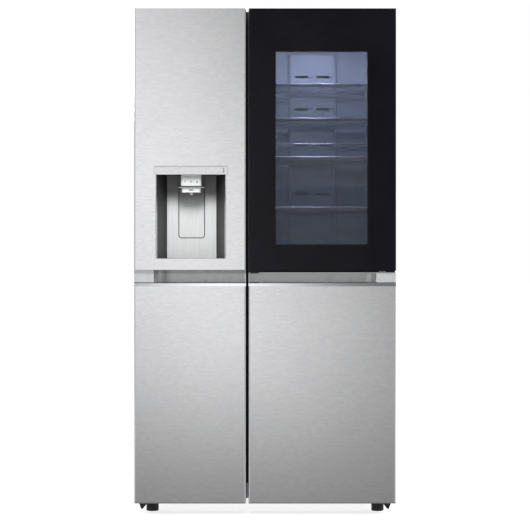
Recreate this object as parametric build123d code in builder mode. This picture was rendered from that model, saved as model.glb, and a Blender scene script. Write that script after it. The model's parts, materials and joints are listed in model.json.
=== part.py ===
from build123d import *
import math
import os

# Side by side refrigerator, in millimetres. The origin is on the floor at the centre of
# the plan, +X to the right as seen from the front, the doors face -Y, +Z is up.

# Whole appliance
width = 913.0  # over the doors
depth = 735.0  # door fronts to the rear spacers
door_top = 1765.0
door_bottom = 40.0
door_thickness = 100.0
door_gap = 9.0  # clear slot between the two doors
gap_centre = -62.0  # the freezer side is the narrower one
gasket_gap = 12.0  # door back to case front
rear_standoff = 10.0  # spacers that keep the case off the wall

# Case
case_inset = 2.5  # case narrower than the doors, each side
case_drop = 15.0  # case top below the door tops
case_lift = 6.0  # case bottom above the door bottoms
case_skin = 1.0
case_radius = 8.0
flange_width = 22.0
front_layer = 2.0  # flanges that close the foam at the front
base_sheet = 2.0
back_sheet = 0.8
side_wall = 64.0
mullion_width = 62.0
mullion_strip = 48.0
top_wall = 52.0
rear_wall = 67.0
floor_wall = 74.0
liner_wall = 2.0
corner_radius = 20.0
kick_height = 54.0  # steel front under the compartments

# Machine room at the bottom rear
machine_depth = 229.5
machine_height = 219.0
machine_slope_run = 37.0
machine_slope_drop = 50.0
machine_sheet = 1.0
step_wall = 53.0  # foam between machine room and compartments
step_lean = 30.0

# Door skins, handles and trims
door_skin = 1.0
edge_radius = 5.0
skin_depth = 90.0
panel_split = 797.0  # top of the lower panels
trim_height = 14.0
trim_depth = 15.5
pocket_height = 43.0
pocket_depth = 51.5
pocket_drop = 25.0  # groove behind the lip
pocket_wall = 4.0
flush_length = 69.0  # solid end of the pocket at the hinge side
ramp_length = 43.0
showcase_drop = 3.0  # showcase bottom below the freezer's upper panel
arm_space = 9.0  # from the fridge pocket up to the showcase, for the hinge arm
liner_sheet = 2.0
dike_wall = 8.0
dike_depth = 62.5
dike_rise = 25.0  # above the compartment floor
dike_drop = 6.0  # below the compartment top
freezer_dike_insets = (10.0, 31.0)  # from the compartment's left and right walls

# Hinges of the main doors
pin_inset = 22.0  # from the door's outer side
pin_setback = 69.5  # from the door's front
pin_radius = 6.0
pin_fit = 0.05
pin_engagement = 20.0
arm_thickness = 4.0
arm_lift = 0.5
lower_plate = 5.0
washer_height = 2.0

# Showcase (the door in the fridge door)
showcase_depth = 38.0
glass_thickness = 3.2
showcase_gap = 7.5  # showcase back to door frame
showcase_pin_inset = 14.0
showcase_pin_setback = 20.0
showcase_pin_radius = 4.0
window_insets = (90.5, 96.5)  # from the panel's left and right edges
window_sill = 89.0
window_head = 147.0
pane_rebate = 10.0
pane_setback = 22.5  # inner pane behind the showcase's front
pane_play = 0.3
pane_thickness = 4.0
back_chamfer = 5.0
seal_width = 14.0
latch_inset = 7.5
latch_width = 28.0
latch_reach = 9.0  # below the showcase

# Opening behind the showcase
opening_insets = (41.0, 18.0)  # from the compartment's left and right walls
opening_sill = 47.0
opening_head = 65.0
dike_rim = 10.0

# Dispenser
dispenser_shift = 3.2  # to the right of the freezer door's middle
bezel_width = 258.0
bezel_height = 30.0
bezel_depth = 5.5
recess_width = 246.0
recess_back_width = 174.0
recess_rise = 38.0  # recess floor above the grip pocket
recess_height = 294.0
recess_depth = 85.0
housing_wall = 3.0
bulge_margin = 14.0  # foam above and below the housing
bulge_depth = 35.5
plate_thickness = 2.0
paddle_width = 87.5
paddle_lift = 76.0  # above the recess floor
paddle_length = 166.0
paddle_thickness = 3.0
paddle_gap = 3.0
paddle_pocket = 26.5
nozzle_width = 72.0
flange_overhang = 10.5
flange_drop = 3.0  # head down to its flange
nozzle_front = 17.5  # behind the door front
nozzle_height = 38.0
key_width = 17.0
key_height = 24.0
key_pitch = 21.0
key_fit = 0.3
key_travel = 1.0
key_stem = 2.0

# Levelling feet and rear rollers
foot_inset = 55.0
foot_setback = 20.5  # behind the case front
foot_radius = 22.0
foot_sides = 12
foot_height = 24.0
stud_radius = 6.0
stud_reach = 16.0  # into the case
stud_fit = 0.06
roller_inset = 74.0
roller_setback = 57.5  # in front of the case back
roller_radius = 20.0
roller_width = 16.0
axle_radius = 4.0
running_fit = 0.05

# Shelves and drawers
shelf_setback = 115.5  # behind the case front
fridge_shelf_gap = 35.5  # shelf to the compartment's rear wall
freezer_shelf_gap = 10.0  # shelf to the duct cover
shelf_glass = 4.0
shelf_trim = 14.0
trim_lap = 4.0
ledge_width = 9.0
ledge_height = 10.0
side_play = 1.5
fridge_shares = (0.89, 0.812, 0.724, 0.609, 0.451, 0.2965)  # of the inside height
freezer_shares = (0.868, 0.729, 0.589, 0.45, 0.2965)
rack_rise = 45.0  # wine rack above the shelf under it
wire_radius = 2.5
thin_wire_radius = 1.8
drawer_setback = 28.0  # behind the shelf fronts
drawer_cut = 8.0
drawer_wall = 2.5
drawer_seat = 0.3
crisper_headroom = 41.0
freezer_drawer_headroom = 35.0
lower_drawer_headroom = 26.0
duct_gap = 75.5  # duct cover's face to the rear wall
duct_sheet = 2.5

# Door bins, ice bin and ice maker
bin_wall = 2.5
bin_play = 0.5
bin_cut = 12.0  # chamfer of the rear corners
freezer_bin_reach = 95.5  # behind the door's inner face
fridge_bin_reach = 81.5
ice_bin_reach = 87.5
ice_maker_reach = 77.5
freezer_bin_height = 105.0
freezer_bin_pitch = 240.0
freezer_bin_rise = 15.0
low_bin_height = 110.0
low_bin_pitch = 310.0
low_bin_rise = 105.0
upper_bin_heights = (150.0, 112.0, 112.0)
bin_headroom = 62.0
ice_maker_height = 138.0
ice_maker_drop = 24.0
ice_drop = 38.0  # ice maker down to the ice bin

# Places worked out from the sizes above
case_top = door_top - case_drop
case_bottom = door_bottom + case_lift
cavity_floor = case_bottom + floor_wall
machine_top = case_bottom + machine_height
front_y = -depth / 2
door_back = front_y + door_thickness
case_front = door_back + gasket_gap
case_back = depth / 2 - rear_standoff
case_half = width / 2 - case_inset
inner_half = case_half - case_skin
freezer_door_x = (-width / 2, gap_centre - door_gap / 2)
fridge_door_x = (gap_centre + door_gap / 2, width / 2)
freezer_x = (-case_half + side_wall, gap_centre - mullion_width / 2)
fridge_x = (gap_centre + mullion_width / 2, case_half - side_wall)
cavity_top = case_top - top_wall
cavity_back = case_back - rear_wall
layer_back = case_front + front_layer
kick_top = case_bottom + kick_height
machine_front = case_back - machine_depth
step_top = machine_top + step_wall
step_end = machine_front - step_wall + 10
step_start = step_end - step_lean
body_back = door_back - liner_sheet
skin_back = front_y + door_skin
trim_back = front_y + trim_depth
pocket_back = front_y + pocket_depth
upper_split = panel_split + trim_height + pocket_height
showcase_bottom = upper_split - showcase_drop
pin_y = front_y + pin_setback
pin_x = width / 2 - pin_inset
showcase_back = front_y + showcase_depth
frame_face = showcase_back + showcase_gap
glass_back = front_y + glass_thickness
showcase_x = (fridge_door_x[0] + 2, fridge_door_x[1])
showcase_pin_x = width / 2 - showcase_pin_inset
showcase_pin_y = front_y + showcase_pin_setback
window_x = (showcase_x[0] + window_insets[0], showcase_x[1] - window_insets[1])
window_z = (showcase_bottom + window_sill, door_top - window_head)
opening_x = (fridge_x[0] + opening_insets[0], fridge_x[1] - opening_insets[1])
opening_z = (showcase_bottom + opening_sill, door_top - opening_head)
fridge_dike_x = (opening_x[0] - dike_rim, opening_x[1] + dike_rim)
freezer_dike_x = (freezer_x[0] + freezer_dike_insets[0], freezer_x[1] - freezer_dike_insets[1])
dike_z = (cavity_floor + dike_rise, cavity_top - dike_drop)
recess_back = front_y + recess_depth
recess_floor = upper_split + recess_rise
recess_ceiling = recess_floor + recess_height
bezel_z = (recess_ceiling, recess_ceiling + bezel_height)
paddle_bottom = recess_floor + paddle_lift
paddle_axis_z = paddle_bottom + paddle_length
dispenser_x = sum(freezer_door_x) / 2 + dispenser_shift
foot_x = case_half - foot_inset
foot_y = case_front + foot_setback
stud_top = case_bottom + stud_reach
roller_x = case_half - roller_inset
roller_y = case_back - roller_setback
shelf_front = case_front + shelf_setback
fridge_shelf_back = cavity_back - fridge_shelf_gap
duct_face = cavity_back - duct_gap
freezer_shelf_back = duct_face - freezer_shelf_gap
drawer_front = shelf_front + drawer_setback


def front_section(y):
    """Plane across the appliance, drawn in X and Z and facing the front."""
    return Plane(origin=(0, y, 0), x_dir=(1, 0, 0), z_dir=(0, -1, 0))


def side_section(x):
    """Plane along the appliance, drawn in Y and Z and facing +X."""
    return Plane(origin=(x, 0, 0), x_dir=(0, 1, 0), z_dir=(1, 0, 0))


def plan_section(z):
    """Level plane, drawn in X and Y and facing up."""
    return Plane.XY.offset(z)


def length(span):
    return span[1] - span[0]


def widened(span, by):
    return (span[0] - by, span[1] + by)


def around(middle, half):
    return (middle - half, middle + half)


def shelf_level(share):
    """Height of a shelf's top, as a share of the compartments' inside height."""
    return cavity_floor + share * (cavity_top - cavity_floor)


def span_box(x, y, z, mode=Mode.ADD):
    """Block between two values on each axis."""
    with Locations((sum(x) / 2, sum(y) / 2, sum(z) / 2)):
        Box(length(x), length(y), length(z), mode=mode)


def span_rectangle(a, b, mode=Mode.ADD):
    """Rectangle between two values on each of the sketch's axes."""
    with Locations((sum(a) / 2, sum(b) / 2)):
        Rectangle(length(a), length(b), mode=mode)


def facet_bar(x, y, z, radius, sides):
    """Bar along Z with flats, such as a nut or the base of a pin."""
    with BuildSketch(plan_section(z[0])) as outline:
        with Locations((x, y)):
            RegularPolygon(radius, sides)
    extrude(outline.sketch, amount=length(z))


def upright_bar(x, y, z, radius, mode=Mode.ADD):
    """Round bar along Z."""
    with Locations((x, y, sum(z) / 2)):
        Cylinder(radius, length(z), mode=mode)


def cross_bar(x, y, z, radius, mode=Mode.ADD):
    """Round bar along X."""
    with Locations(Location((sum(x) / 2, y, z), (0, 90, 0))):
        Cylinder(radius, length(x), mode=mode)


def long_bar(x, y, z, radius, mode=Mode.ADD):
    """Round bar along Y."""
    with Locations(Location((x, sum(y) / 2, z), (90, 0, 0))):
        Cylinder(radius, length(y), mode=mode)


def side_prism(x, points, mode=Mode.ADD):
    """Outline in Y and Z carried along X."""
    with BuildSketch(side_section(x[0])) as outline:
        with BuildLine():
            Polyline(*points, close=True)
        make_face()
    extrude(outline.sketch, amount=length(x), mode=mode)


def plan_prism(z, points, mode=Mode.ADD):
    """Outline in X and Y carried up."""
    with BuildSketch(plan_section(z[0])) as outline:
        with BuildLine():
            Polyline(*points, close=True)
        make_face()
    extrude(outline.sketch, amount=length(z), mode=mode)


def eased_block(x, y, z, size, corners, ease=fillet, mode=Mode.ADD):
    """Upright block with its front or back corners, or all four, rounded or chamfered."""
    with BuildSketch(plan_section(z[0])) as outline:
        span_rectangle(x, y)
        rows = outline.vertices().group_by(Axis.Y)
        chosen = {"front": rows[0], "back": rows[-1], "all": rows[0] + rows[-1]}
        ease(chosen[corners], size)
    extrude(outline.sketch, amount=length(z), mode=mode)


def ring(x, z, y, band, mode=Mode.ADD):
    """Picture frame of a given band, facing the front."""
    with BuildSketch(front_section(y[1])) as outline:
        span_rectangle(x, z)
        span_rectangle(widened(x, -band), widened(z, -band), mode=Mode.SUBTRACT)
    extrude(outline.sketch, amount=length(y), mode=mode)


def save(piece, name):
    """Label a finished piece and write it."""
    piece.part.label = name
    export_step(piece.part, f"parts/{name}.step")


os.makedirs("parts", exist_ok=True)

fridge_shelf_tops = [shelf_level(share) for share in fridge_shares]
freezer_shelf_tops = [shelf_level(share) for share in freezer_shares]
wine_rack_z = fridge_shelf_tops[2] + rack_rise
bezel_x = around(dispenser_x, bezel_width / 2)
recess_front_x = around(dispenser_x, recess_width / 2)
recess_back_x = around(dispenser_x, recess_back_width / 2)
paddle_x = around(dispenser_x, paddle_width / 2)
nozzle_x = around(dispenser_x, nozzle_width / 2)
bulge_z = (recess_floor - bulge_margin, bezel_z[1] + bulge_margin)
latch_x = (fridge_door_x[0] + latch_inset, fridge_door_x[0] + latch_inset + latch_width)


# ---- Case ----


def case_section(y, inset, bottom):
    """Outline of the case: square below, round at the two top corners."""
    with BuildSketch(front_section(y)) as section:
        span_rectangle(widened((-case_half, case_half), -inset), (bottom, case_top - inset))
        fillet(section.vertices().group_by(Axis.Y)[-1], radius=case_radius - inset)
    return section.sketch


def cavity_block(x, front, grow=0.0):
    """Inside of one compartment, with the machine room's step and round rear corners."""
    with BuildPart() as block:
        with BuildSketch(side_section(x[0] - grow)):
            with BuildLine():
                Polyline(
                    (front + grow, cavity_floor),
                    (step_start, cavity_floor),
                    (step_end, step_top),
                    (cavity_back, step_top),
                    (cavity_back, cavity_top),
                    (front + grow, cavity_top),
                    close=True,
                )
            make_face()
            if grow > 0:
                offset(amount=grow, kind=Kind.INTERSECTION)
        extrude(amount=length(x) + 2 * grow)
        rear = edges().filter_by(Axis.Z).group_by(Axis.Y)[-1]
        fillet(rear, radius=corner_radius + grow)
    return block.part


def machine_outline(inset):
    """Corners of the machine room in Y and Z, a sheet's thickness inside the foam."""
    slope = math.atan2(machine_slope_drop, machine_slope_run)
    wall = machine_front + inset
    roof = machine_top - inset
    knee = machine_top - machine_slope_drop - inset * math.tan(math.pi / 4 - slope / 2)
    ease = machine_front + machine_slope_run + inset * math.tan(slope / 2)
    return [
        (wall, case_bottom - 1),
        (wall, knee),
        (ease, roof),
        (case_back + 1, roof),
        (case_back + 1, case_bottom - 1),
    ]


def ledges(x, tops, y):
    """Moulded rails on both walls of a compartment, one pair for each level."""
    for top in tops:
        level = (top - ledge_height, top)
        span_box((x[0], x[0] + ledge_width), y, level)
        span_box((x[1] - ledge_width, x[1]), y, level)


def liner_shell(x, flange_x, tops, shelf_back):
    """Moulded compartment with its front flange and shelf rails."""
    inside = cavity_block(x, case_front - 1)
    with BuildPart() as shell:
        add(cavity_block(x, case_front, liner_wall))
        span_box(flange_x, (case_front, layer_back), (kick_top, case_top - flange_width))
        add(inside, mode=Mode.SUBTRACT)
        rails = (shelf_front + shelf_trim + 2, shelf_back - shelf_trim)
        ledges(x, [top - shelf_glass for top in tops], rails)
    return shell.part


strip_x = around(gap_centre, mullion_strip / 2)
outer_flange = case_half - flange_width

with BuildPart() as case_wrapper:
    run = case_back - case_front
    extrude(case_section(case_front, 0, case_bottom), amount=-run)
    inner = case_section(layer_back, case_skin, case_bottom - 1)
    extrude(inner, amount=-run, mode=Mode.SUBTRACT)
    span_box(
        (-outer_flange, outer_flange),
        (case_front - 1, layer_back + 1),
        (case_bottom - 1, case_top - flange_width),
        mode=Mode.SUBTRACT,
    )
    span_box(
        (-inner_half, inner_half),
        (case_front - 1, layer_back),
        (case_bottom - 1, kick_top),
        mode=Mode.SUBTRACT,
    )
save(case_wrapper, "case_wrapper")

with BuildPart() as cabinet_insulation:
    foam = case_section(layer_back, case_skin, case_bottom + base_sheet)
    extrude(foam, amount=-(case_back - back_sheet - layer_back))
    add(cavity_block(freezer_x, layer_back - 1, liner_wall), mode=Mode.SUBTRACT)
    add(cavity_block(fridge_x, layer_back - 1, liner_wall), mode=Mode.SUBTRACT)
    side_prism((-case_half, case_half), machine_outline(0), mode=Mode.SUBTRACT)
    for side in (-1, 1):
        pocket_x = around(side * foot_x, stud_radius + 3)
        pocket_z = (case_bottom, stud_top + 4)
        span_box(pocket_x, around(foot_y, stud_radius + 3), pocket_z, mode=Mode.SUBTRACT)
save(cabinet_insulation, "cabinet_insulation")

with BuildPart() as freezer_liner:
    flange_x = (-outer_flange, strip_x[0])
    add(liner_shell(freezer_x, flange_x, freezer_shelf_tops, freezer_shelf_back))
save(freezer_liner, "freezer_liner")

rack_seat = wine_rack_z - wire_radius + shelf_glass
with BuildPart() as fridge_liner:
    flange_x = (strip_x[1], outer_flange)
    levels = (*fridge_shelf_tops, rack_seat)
    add(liner_shell(fridge_x, flange_x, levels, fridge_shelf_back))
save(fridge_liner, "fridge_liner")

with BuildPart() as centre_mullion:
    span_box(strip_x, (case_front, layer_back), (kick_top, case_top - flange_width))
save(centre_mullion, "centre_mullion")

rib_height = 3.0
rib_margin = 92.5
with BuildPart() as back_panel:
    sheet_y = (case_back - back_sheet, case_back)
    span_box((-inner_half, inner_half), sheet_y, (machine_top, case_top - case_radius))
    with BuildSketch(front_section(case_back)) as ribs:
        with GridLocations(260, 0, 3, 1):
            with Locations((0, (machine_top + case_top) / 2)):
                Rectangle(40, case_top - machine_top - 2 * rib_margin)
    extrude(ribs.sketch, amount=-rib_height, taper=30)
save(back_panel, "back_panel")

# Base: kick front, floor sheet, folded machine room wall, roller forks and motor posts
compressor_x = case_half - 249.0
compressor_y = case_back - 114.5
post_height = 8.0
post_size = 16.0
fork_gap = 0.5
fork_sheet = 2.5
with BuildPart() as base_chassis:
    floor_z = (case_bottom, case_bottom + base_sheet)
    span_box((-inner_half, inner_half), (layer_back, case_back), floor_z)
    span_box((-inner_half, inner_half), (case_front, layer_back), (case_bottom, kick_top))
    side_prism((-inner_half, inner_half), machine_outline(0))
    side_prism((-case_half, case_half), machine_outline(machine_sheet), Mode.SUBTRACT)
    span_box((-inner_half, inner_half), (machine_front, case_back), floor_z)
    below = (case_bottom - 2, case_bottom)
    span_box((-case_half, case_half), (layer_back, case_back + 2), below, Mode.SUBTRACT)
    behind = (case_back, case_back + 2)
    span_box((-case_half, case_half), behind, (0, machine_top + 1), Mode.SUBTRACT)
    for side in (-1, 1):
        stud_hole = around(side * foot_x, stud_radius + 2), around(foot_y, stud_radius + 2)
        span_box(*stud_hole, widened(floor_z, 1), mode=Mode.SUBTRACT)
        roller_span = around(side * roller_x, roller_width / 2 + fork_gap)
        fork_y = around(roller_y, 12)
        fork_z = (roller_radius - 9, case_bottom)
        span_box((roller_span[0] - fork_sheet, roller_span[0]), fork_y, fork_z)
        span_box((roller_span[1], roller_span[1] + fork_sheet), fork_y, fork_z)
        cross_bar(widened(roller_span, fork_sheet), roller_y, roller_radius, axle_radius)
    with Locations((compressor_x, compressor_y, floor_z[1] + post_height / 2)):
        with GridLocations(150, 110, 2, 2):
            Box(post_size, post_size, post_height)
save(base_chassis, "base_chassis")


# ---- Machine room ----

shell_radius = 74.0
lid_radius = 70.0
seam_height = 84.0  # weld seam above the shell's foot
shell_height = 160.0
compressor_foot = 3.0
with BuildPart() as compressor:
    shell_z = (floor_z[1] + post_height, floor_z[1] + post_height + shell_height)
    seam_z = shell_z[0] + seam_height
    upright_bar(compressor_x, compressor_y, (shell_z[0] + 1, seam_z), shell_radius)
    upright_bar(compressor_x, compressor_y, (seam_z, shell_z[1]), lid_radius)
    foot_z = (shell_z[0], shell_z[0] + compressor_foot)
    span_box(around(compressor_x, 88), around(compressor_y, 66), foot_z)
    box_x = (compressor_x + lid_radius - 12, compressor_x + shell_radius + 24)
    span_box(box_x, around(compressor_y, 24), (shell_z[0] + 38, shell_z[0] + 78))
    pipe_x = (compressor_x - shell_radius - 24, compressor_x - shell_radius + 12)
    cross_bar(pipe_x, compressor_y, shell_z[0] + 60, 5)
save(compressor, "compressor")

coil_width = 220.0
coil_length = 140.0
coil_x = (-case_half + 114, -case_half + 114 + coil_width)
coil_y = (machine_front + 18, machine_front + 18 + coil_length)
coil_rows = 4
fin_count = 6
with BuildPart() as condenser_coil:
    core_z = (floor_z[1], machine_top - 45)
    span_box(coil_x, (coil_y[0], coil_y[0] + 4), (core_z[0], core_z[1]))
    span_box(coil_x, (coil_y[1] - 4, coil_y[1]), (core_z[0], core_z[1]))
    for row in range(coil_rows):
        row_z = core_z[0] + 20 + row * 42
        span_box(coil_x, coil_y, (row_z, row_z + 4))
    for fin in range(fin_count):
        fin_x = coil_x[0] + 8 + fin * (length(coil_x) - 18) / (fin_count - 1)
        span_box((fin_x, fin_x + 2), coil_y, (core_z[0] + 10, core_z[1] - 6))
save(condenser_coil, "condenser_coil")

# Cover of the machine room, pressed out for air, with the two spacers on its outside
cover_sheet = 1.5
valve_x = -case_half + 124
valve_z = case_bottom + 84
cord_x = case_half - 119
cord_z = case_bottom + 104
spacer_x = case_half - 169
louvre_pitch = (88.0, 36.0)
port_half = 13.0
port_fit = 0.3
cover_z = (case_bottom + base_sheet, machine_top - machine_sheet)
with BuildPart() as machine_room_cover:
    cover_y = (case_back - cover_sheet, case_back)
    span_box(widened((-inner_half, inner_half), -0.5), cover_y, widened(cover_z, -0.5))
    with BuildSketch(front_section(case_back)) as louvres:
        with Locations((0, sum(cover_z) / 2)):
            with GridLocations(*louvre_pitch, 5, 4):
                Rectangle(louvre_pitch[0] - 14, 10)
    extrude(louvres.sketch, amount=cover_sheet, mode=Mode.SUBTRACT)
    for spot in ((valve_x, valve_z), (cord_x, cord_z)):
        port = around(spot[0], port_half), around(spot[1], port_half)
        span_box(port[0], widened(cover_y, 1), port[1], mode=Mode.SUBTRACT)
    for side in (-1, 1):
        with BuildSketch(front_section(case_back)) as spacer:
            with Locations((side * spacer_x, sum(cover_z) / 2 + 56)):
                Rectangle(26, 60)
        extrude(spacer.sketch, amount=-rear_standoff, taper=12)
save(machine_room_cover, "machine_room_cover")

flange_sheet = 3.0
flange_lap = 4.0
collar_length = 9.0
collar_radius = 11.0
bore_depth = 14.0
valve_bore = 5.0
gland_bore = 4.5
with BuildPart() as rear_connections:
    flange_y = (case_back, case_back + flange_sheet)
    for spot_x, spot_z, inner_y, bore in (
        (valve_x, valve_z, case_back - 46, valve_bore),
        (cord_x, cord_z, case_back - 12, gland_bore),
    ):
        flange_half = port_half + flange_lap
        span_box(around(spot_x, flange_half), flange_y, around(spot_z, flange_half))
        body_half = port_half - port_fit
        span_box(around(spot_x, body_half), (inner_y, case_back), around(spot_z, body_half))
        with BuildSketch(front_section(case_back + collar_length)) as collar:
            with Locations((spot_x, spot_z)):
                RegularPolygon(collar_radius, 6)
        extrude(collar.sketch, amount=collar_length)
        bore_y = (case_back - bore_depth, case_back + collar_length + 1)
        long_bar(spot_x, bore_y, spot_z, bore, Mode.SUBTRACT)
save(rear_connections, "rear_connections")


# ---- Fans ----

fan_radius = 56.0
hub_radius = 17.0
hub_length = 22.0
fan_shaft = 3.0
condenser_fan_x = coil_x[1] + 50
condenser_fan_y = sum(coil_y) / 2
condenser_fan_z = case_bottom + 94
evaporator_fan_x = sum(freezer_x) / 2
evaporator_fan_y = cavity_back - 44.5
evaporator_fan_z = step_top + 417
blade_count = 5
blade_pitch = 32.0  # degrees from the wheel's plane
blade_sheet = 2.5


def fan_wheel(place):
    """Hub with pitched blades about the plane's normal, bored for its motor shaft."""
    with BuildPart() as wheel:
        with BuildSketch(place):
            Circle(hub_radius)
        extrude(amount=hub_length / 2, both=True)
        for blade in range(blade_count):
            spoke = place.x_dir.rotate(Axis((0, 0, 0), place.z_dir), blade * 360 / blade_count)
            face = place.z_dir.rotate(Axis((0, 0, 0), spoke), blade_pitch)
            with BuildSketch(Plane(origin=place.origin, x_dir=spoke, z_dir=face)):
                with BuildLine():
                    Polyline(
                        (hub_radius - 3, -7), (fan_radius - 9, -20), (fan_radius, -12),
                        (fan_radius, 14), (fan_radius - 7, 20), (hub_radius - 3, 8), close=True,
                    )
                make_face()
            extrude(amount=blade_sheet / 2, both=True)
        with BuildSketch(place.offset(-hub_length / 2)):
            Circle(fan_shaft + running_fit)
        extrude(amount=hub_length - 4, mode=Mode.SUBTRACT)
    return wheel.part


condenser_plane = Plane(
    origin=(condenser_fan_x, condenser_fan_y, condenser_fan_z), x_dir=(0, 1, 0), z_dir=(-1, 0, 0)
)
evaporator_plane = Plane(
    origin=(evaporator_fan_x, evaporator_fan_y, evaporator_fan_z), x_dir=(1, 0, 0), z_dir=(0, -1, 0)
)

with BuildPart() as condenser_fan:
    add(fan_wheel(condenser_plane))
save(condenser_fan, "condenser_fan")

with BuildPart() as evaporator_fan:
    add(fan_wheel(evaporator_plane))
save(evaporator_fan, "evaporator_fan")

motor_half = 23.0
motor_length = 26.0
motor_gap = 2.0
with BuildPart() as fan_motors:
    motor_start = condenser_fan_x + hub_length / 2 + motor_gap
    motor_x = (motor_start, motor_start + motor_length)
    square = around(condenser_fan_y, motor_half), around(condenser_fan_z, motor_half)
    span_box(motor_x, *square)
    shaft_x = (condenser_fan_x - hub_length / 2 + 6, motor_start + 1)
    cross_bar(shaft_x, condenser_fan_y, condenser_fan_z, fan_shaft)
    post_x = (motor_x[0] + 8, motor_x[1])
    post_y = around(condenser_fan_y, 14)
    span_box(post_x, post_y, (floor_z[1], condenser_fan_z))
    motor_start = evaporator_fan_y + hub_length / 2 + motor_gap
    motor_y = (motor_start, cavity_back)
    square = around(evaporator_fan_x, motor_half), around(evaporator_fan_z, motor_half)
    span_box(square[0], motor_y, square[1])
    shaft_y = (evaporator_fan_y - hub_length / 2 + 6, motor_start + 1)
    long_bar(evaporator_fan_x, shaft_y, evaporator_fan_z, fan_shaft)
    arm_z = around(evaporator_fan_z, 8)
    arm_x = around(evaporator_fan_x, 70)
    span_box(arm_x, (cavity_back - 6, cavity_back), arm_z)
save(fan_motors, "fan_motors")


# ---- Cold air parts inside the compartments ----

evaporator_height = 300.0
evaporator_rise = 20.0  # above the machine room's step
evaporator_inset = 32.0
fin_clearance = 12.0
with BuildPart() as evaporator_coil:
    pack_x = widened(freezer_x, -evaporator_inset)
    pack_z = (step_top + evaporator_rise, step_top + evaporator_rise + evaporator_height)
    pack_y = (duct_face + duct_sheet + fin_clearance, cavity_back - fin_clearance)
    core = around(sum(pack_y) / 2, 8)
    span_box(pack_x, core, pack_z)
    fin_pitch = 24
    fins = int(length(pack_x) / fin_pitch)
    for fin in range(fins):
        fin_x = pack_x[0] + 6 + fin * fin_pitch
        span_box((fin_x, fin_x + 2), pack_y, pack_z)
    for share in (0.3, 0.7):
        bend_z = pack_z[0] + share * evaporator_height
        for end in (pack_x[0] - 3, pack_x[1] + 3):
            span_box(around(end, 4), around(sum(core) / 2, 5), around(bend_z, 18))
    span_box(widened(pack_x, -40), (pack_y[1] - 2, cavity_back), (pack_z[1] - 12, pack_z[1]))
save(evaporator_coil, "evaporator_coil")

duct_x = widened(freezer_x, -0.5)
duct_z = (step_top + 0.5, cavity_top - 8)
duct_return = 55.0
with BuildPart() as freezer_duct_cover:
    span_box(duct_x, (duct_face, duct_face + duct_return), duct_z)
    hollow_y = (duct_face + duct_sheet, duct_face + duct_return + 1)
    hollow_z = (duct_z[0] - 1, duct_z[1] - duct_sheet)
    span_box(widened(duct_x, -duct_sheet), hollow_y, hollow_z, mode=Mode.SUBTRACT)
    with BuildSketch(front_section(duct_face + duct_sheet)) as outlets:
        for top in freezer_shelf_tops:
            with Locations((sum(freezer_x) / 2, top + 120)):
                with GridLocations(0, 14, 1, 2):
                    Rectangle(150, 7)
    extrude(outlets.sketch, amount=duct_sheet, mode=Mode.SUBTRACT)
save(freezer_duct_cover, "freezer_duct_cover")

tower_width = 180.0
tower_rise = 300.0  # above the machine room's step
tower_drop = 30.0  # below the compartment's top
tower_gap = 6.0  # behind the shelves
tower_x = around(sum(fridge_x) / 2, tower_width / 2)
with BuildPart() as fridge_duct_cover:
    tower_z = (step_top + tower_rise, cavity_top - tower_drop)
    tower_y = (fridge_shelf_back + tower_gap, cavity_back)
    eased_block(tower_x, tower_y, tower_z, 12, "front")
    hollow_y = (tower_y[0] + duct_sheet, cavity_back + 1)
    hollow_z = widened(tower_z, -duct_sheet)
    span_box(widened(tower_x, -12), hollow_y, hollow_z, mode=Mode.SUBTRACT)
    with BuildSketch(front_section(tower_y[0] + duct_sheet)) as outlets:
        for top in fridge_shelf_tops[:5]:
            with Locations((sum(tower_x) / 2, top + 60)):
                with GridLocations(80, 0, 2, 1):
                    Rectangle(50, 9)
    extrude(outlets.sketch, amount=duct_sheet, mode=Mode.SUBTRACT)
save(fridge_duct_cover, "fridge_duct_cover")

lamp_height = 7.0
with BuildPart() as led_lamps:
    for x in (freezer_x, fridge_x):
        lamp_x = around(sum(x) / 2, 75)
        lamp_z = (cavity_top - lamp_height, cavity_top)
        lamp_y = (shelf_front + 50, shelf_front + 110)
        eased_block(lamp_x, lamp_y, lamp_z, 12, "front")
save(led_lamps, "led_lamps")

# Shelves: tempered glass in front and rear trims, resting on the moulded rails
shelf_sets = (
    (freezer_x, freezer_shelf_tops, freezer_shelf_back),
    (fridge_x, fridge_shelf_tops, fridge_shelf_back),
)
with BuildPart() as glass_shelves:
    for x, tops, back in shelf_sets:
        for top in tops:
            pane_y = (shelf_front + trim_lap, back - trim_lap)
            span_box(widened(x, -side_play), pane_y, (top - shelf_glass, top))
save(glass_shelves, "glass_shelves")

with BuildPart() as shelf_trims:
    for x, tops, back in shelf_sets:
        for top in tops:
            trim_x = widened(x, -side_play)
            front_trim = (shelf_front, shelf_front + shelf_trim)
            side_prism(
                trim_x,
                [
                    (front_trim[0] + 3, top),
                    (front_trim[0], top - 3),
                    (front_trim[0] + 2, top - shelf_trim),
                    (front_trim[1], top - shelf_trim),
                    (front_trim[1], top - shelf_glass),
                    (front_trim[0] + trim_lap, top - shelf_glass),
                    (front_trim[0] + trim_lap, top),
                ],
            )
            span_box(trim_x, (back - trim_lap, back), (top - shelf_trim, top + 6))
save(shelf_trims, "shelf_trims")

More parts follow.
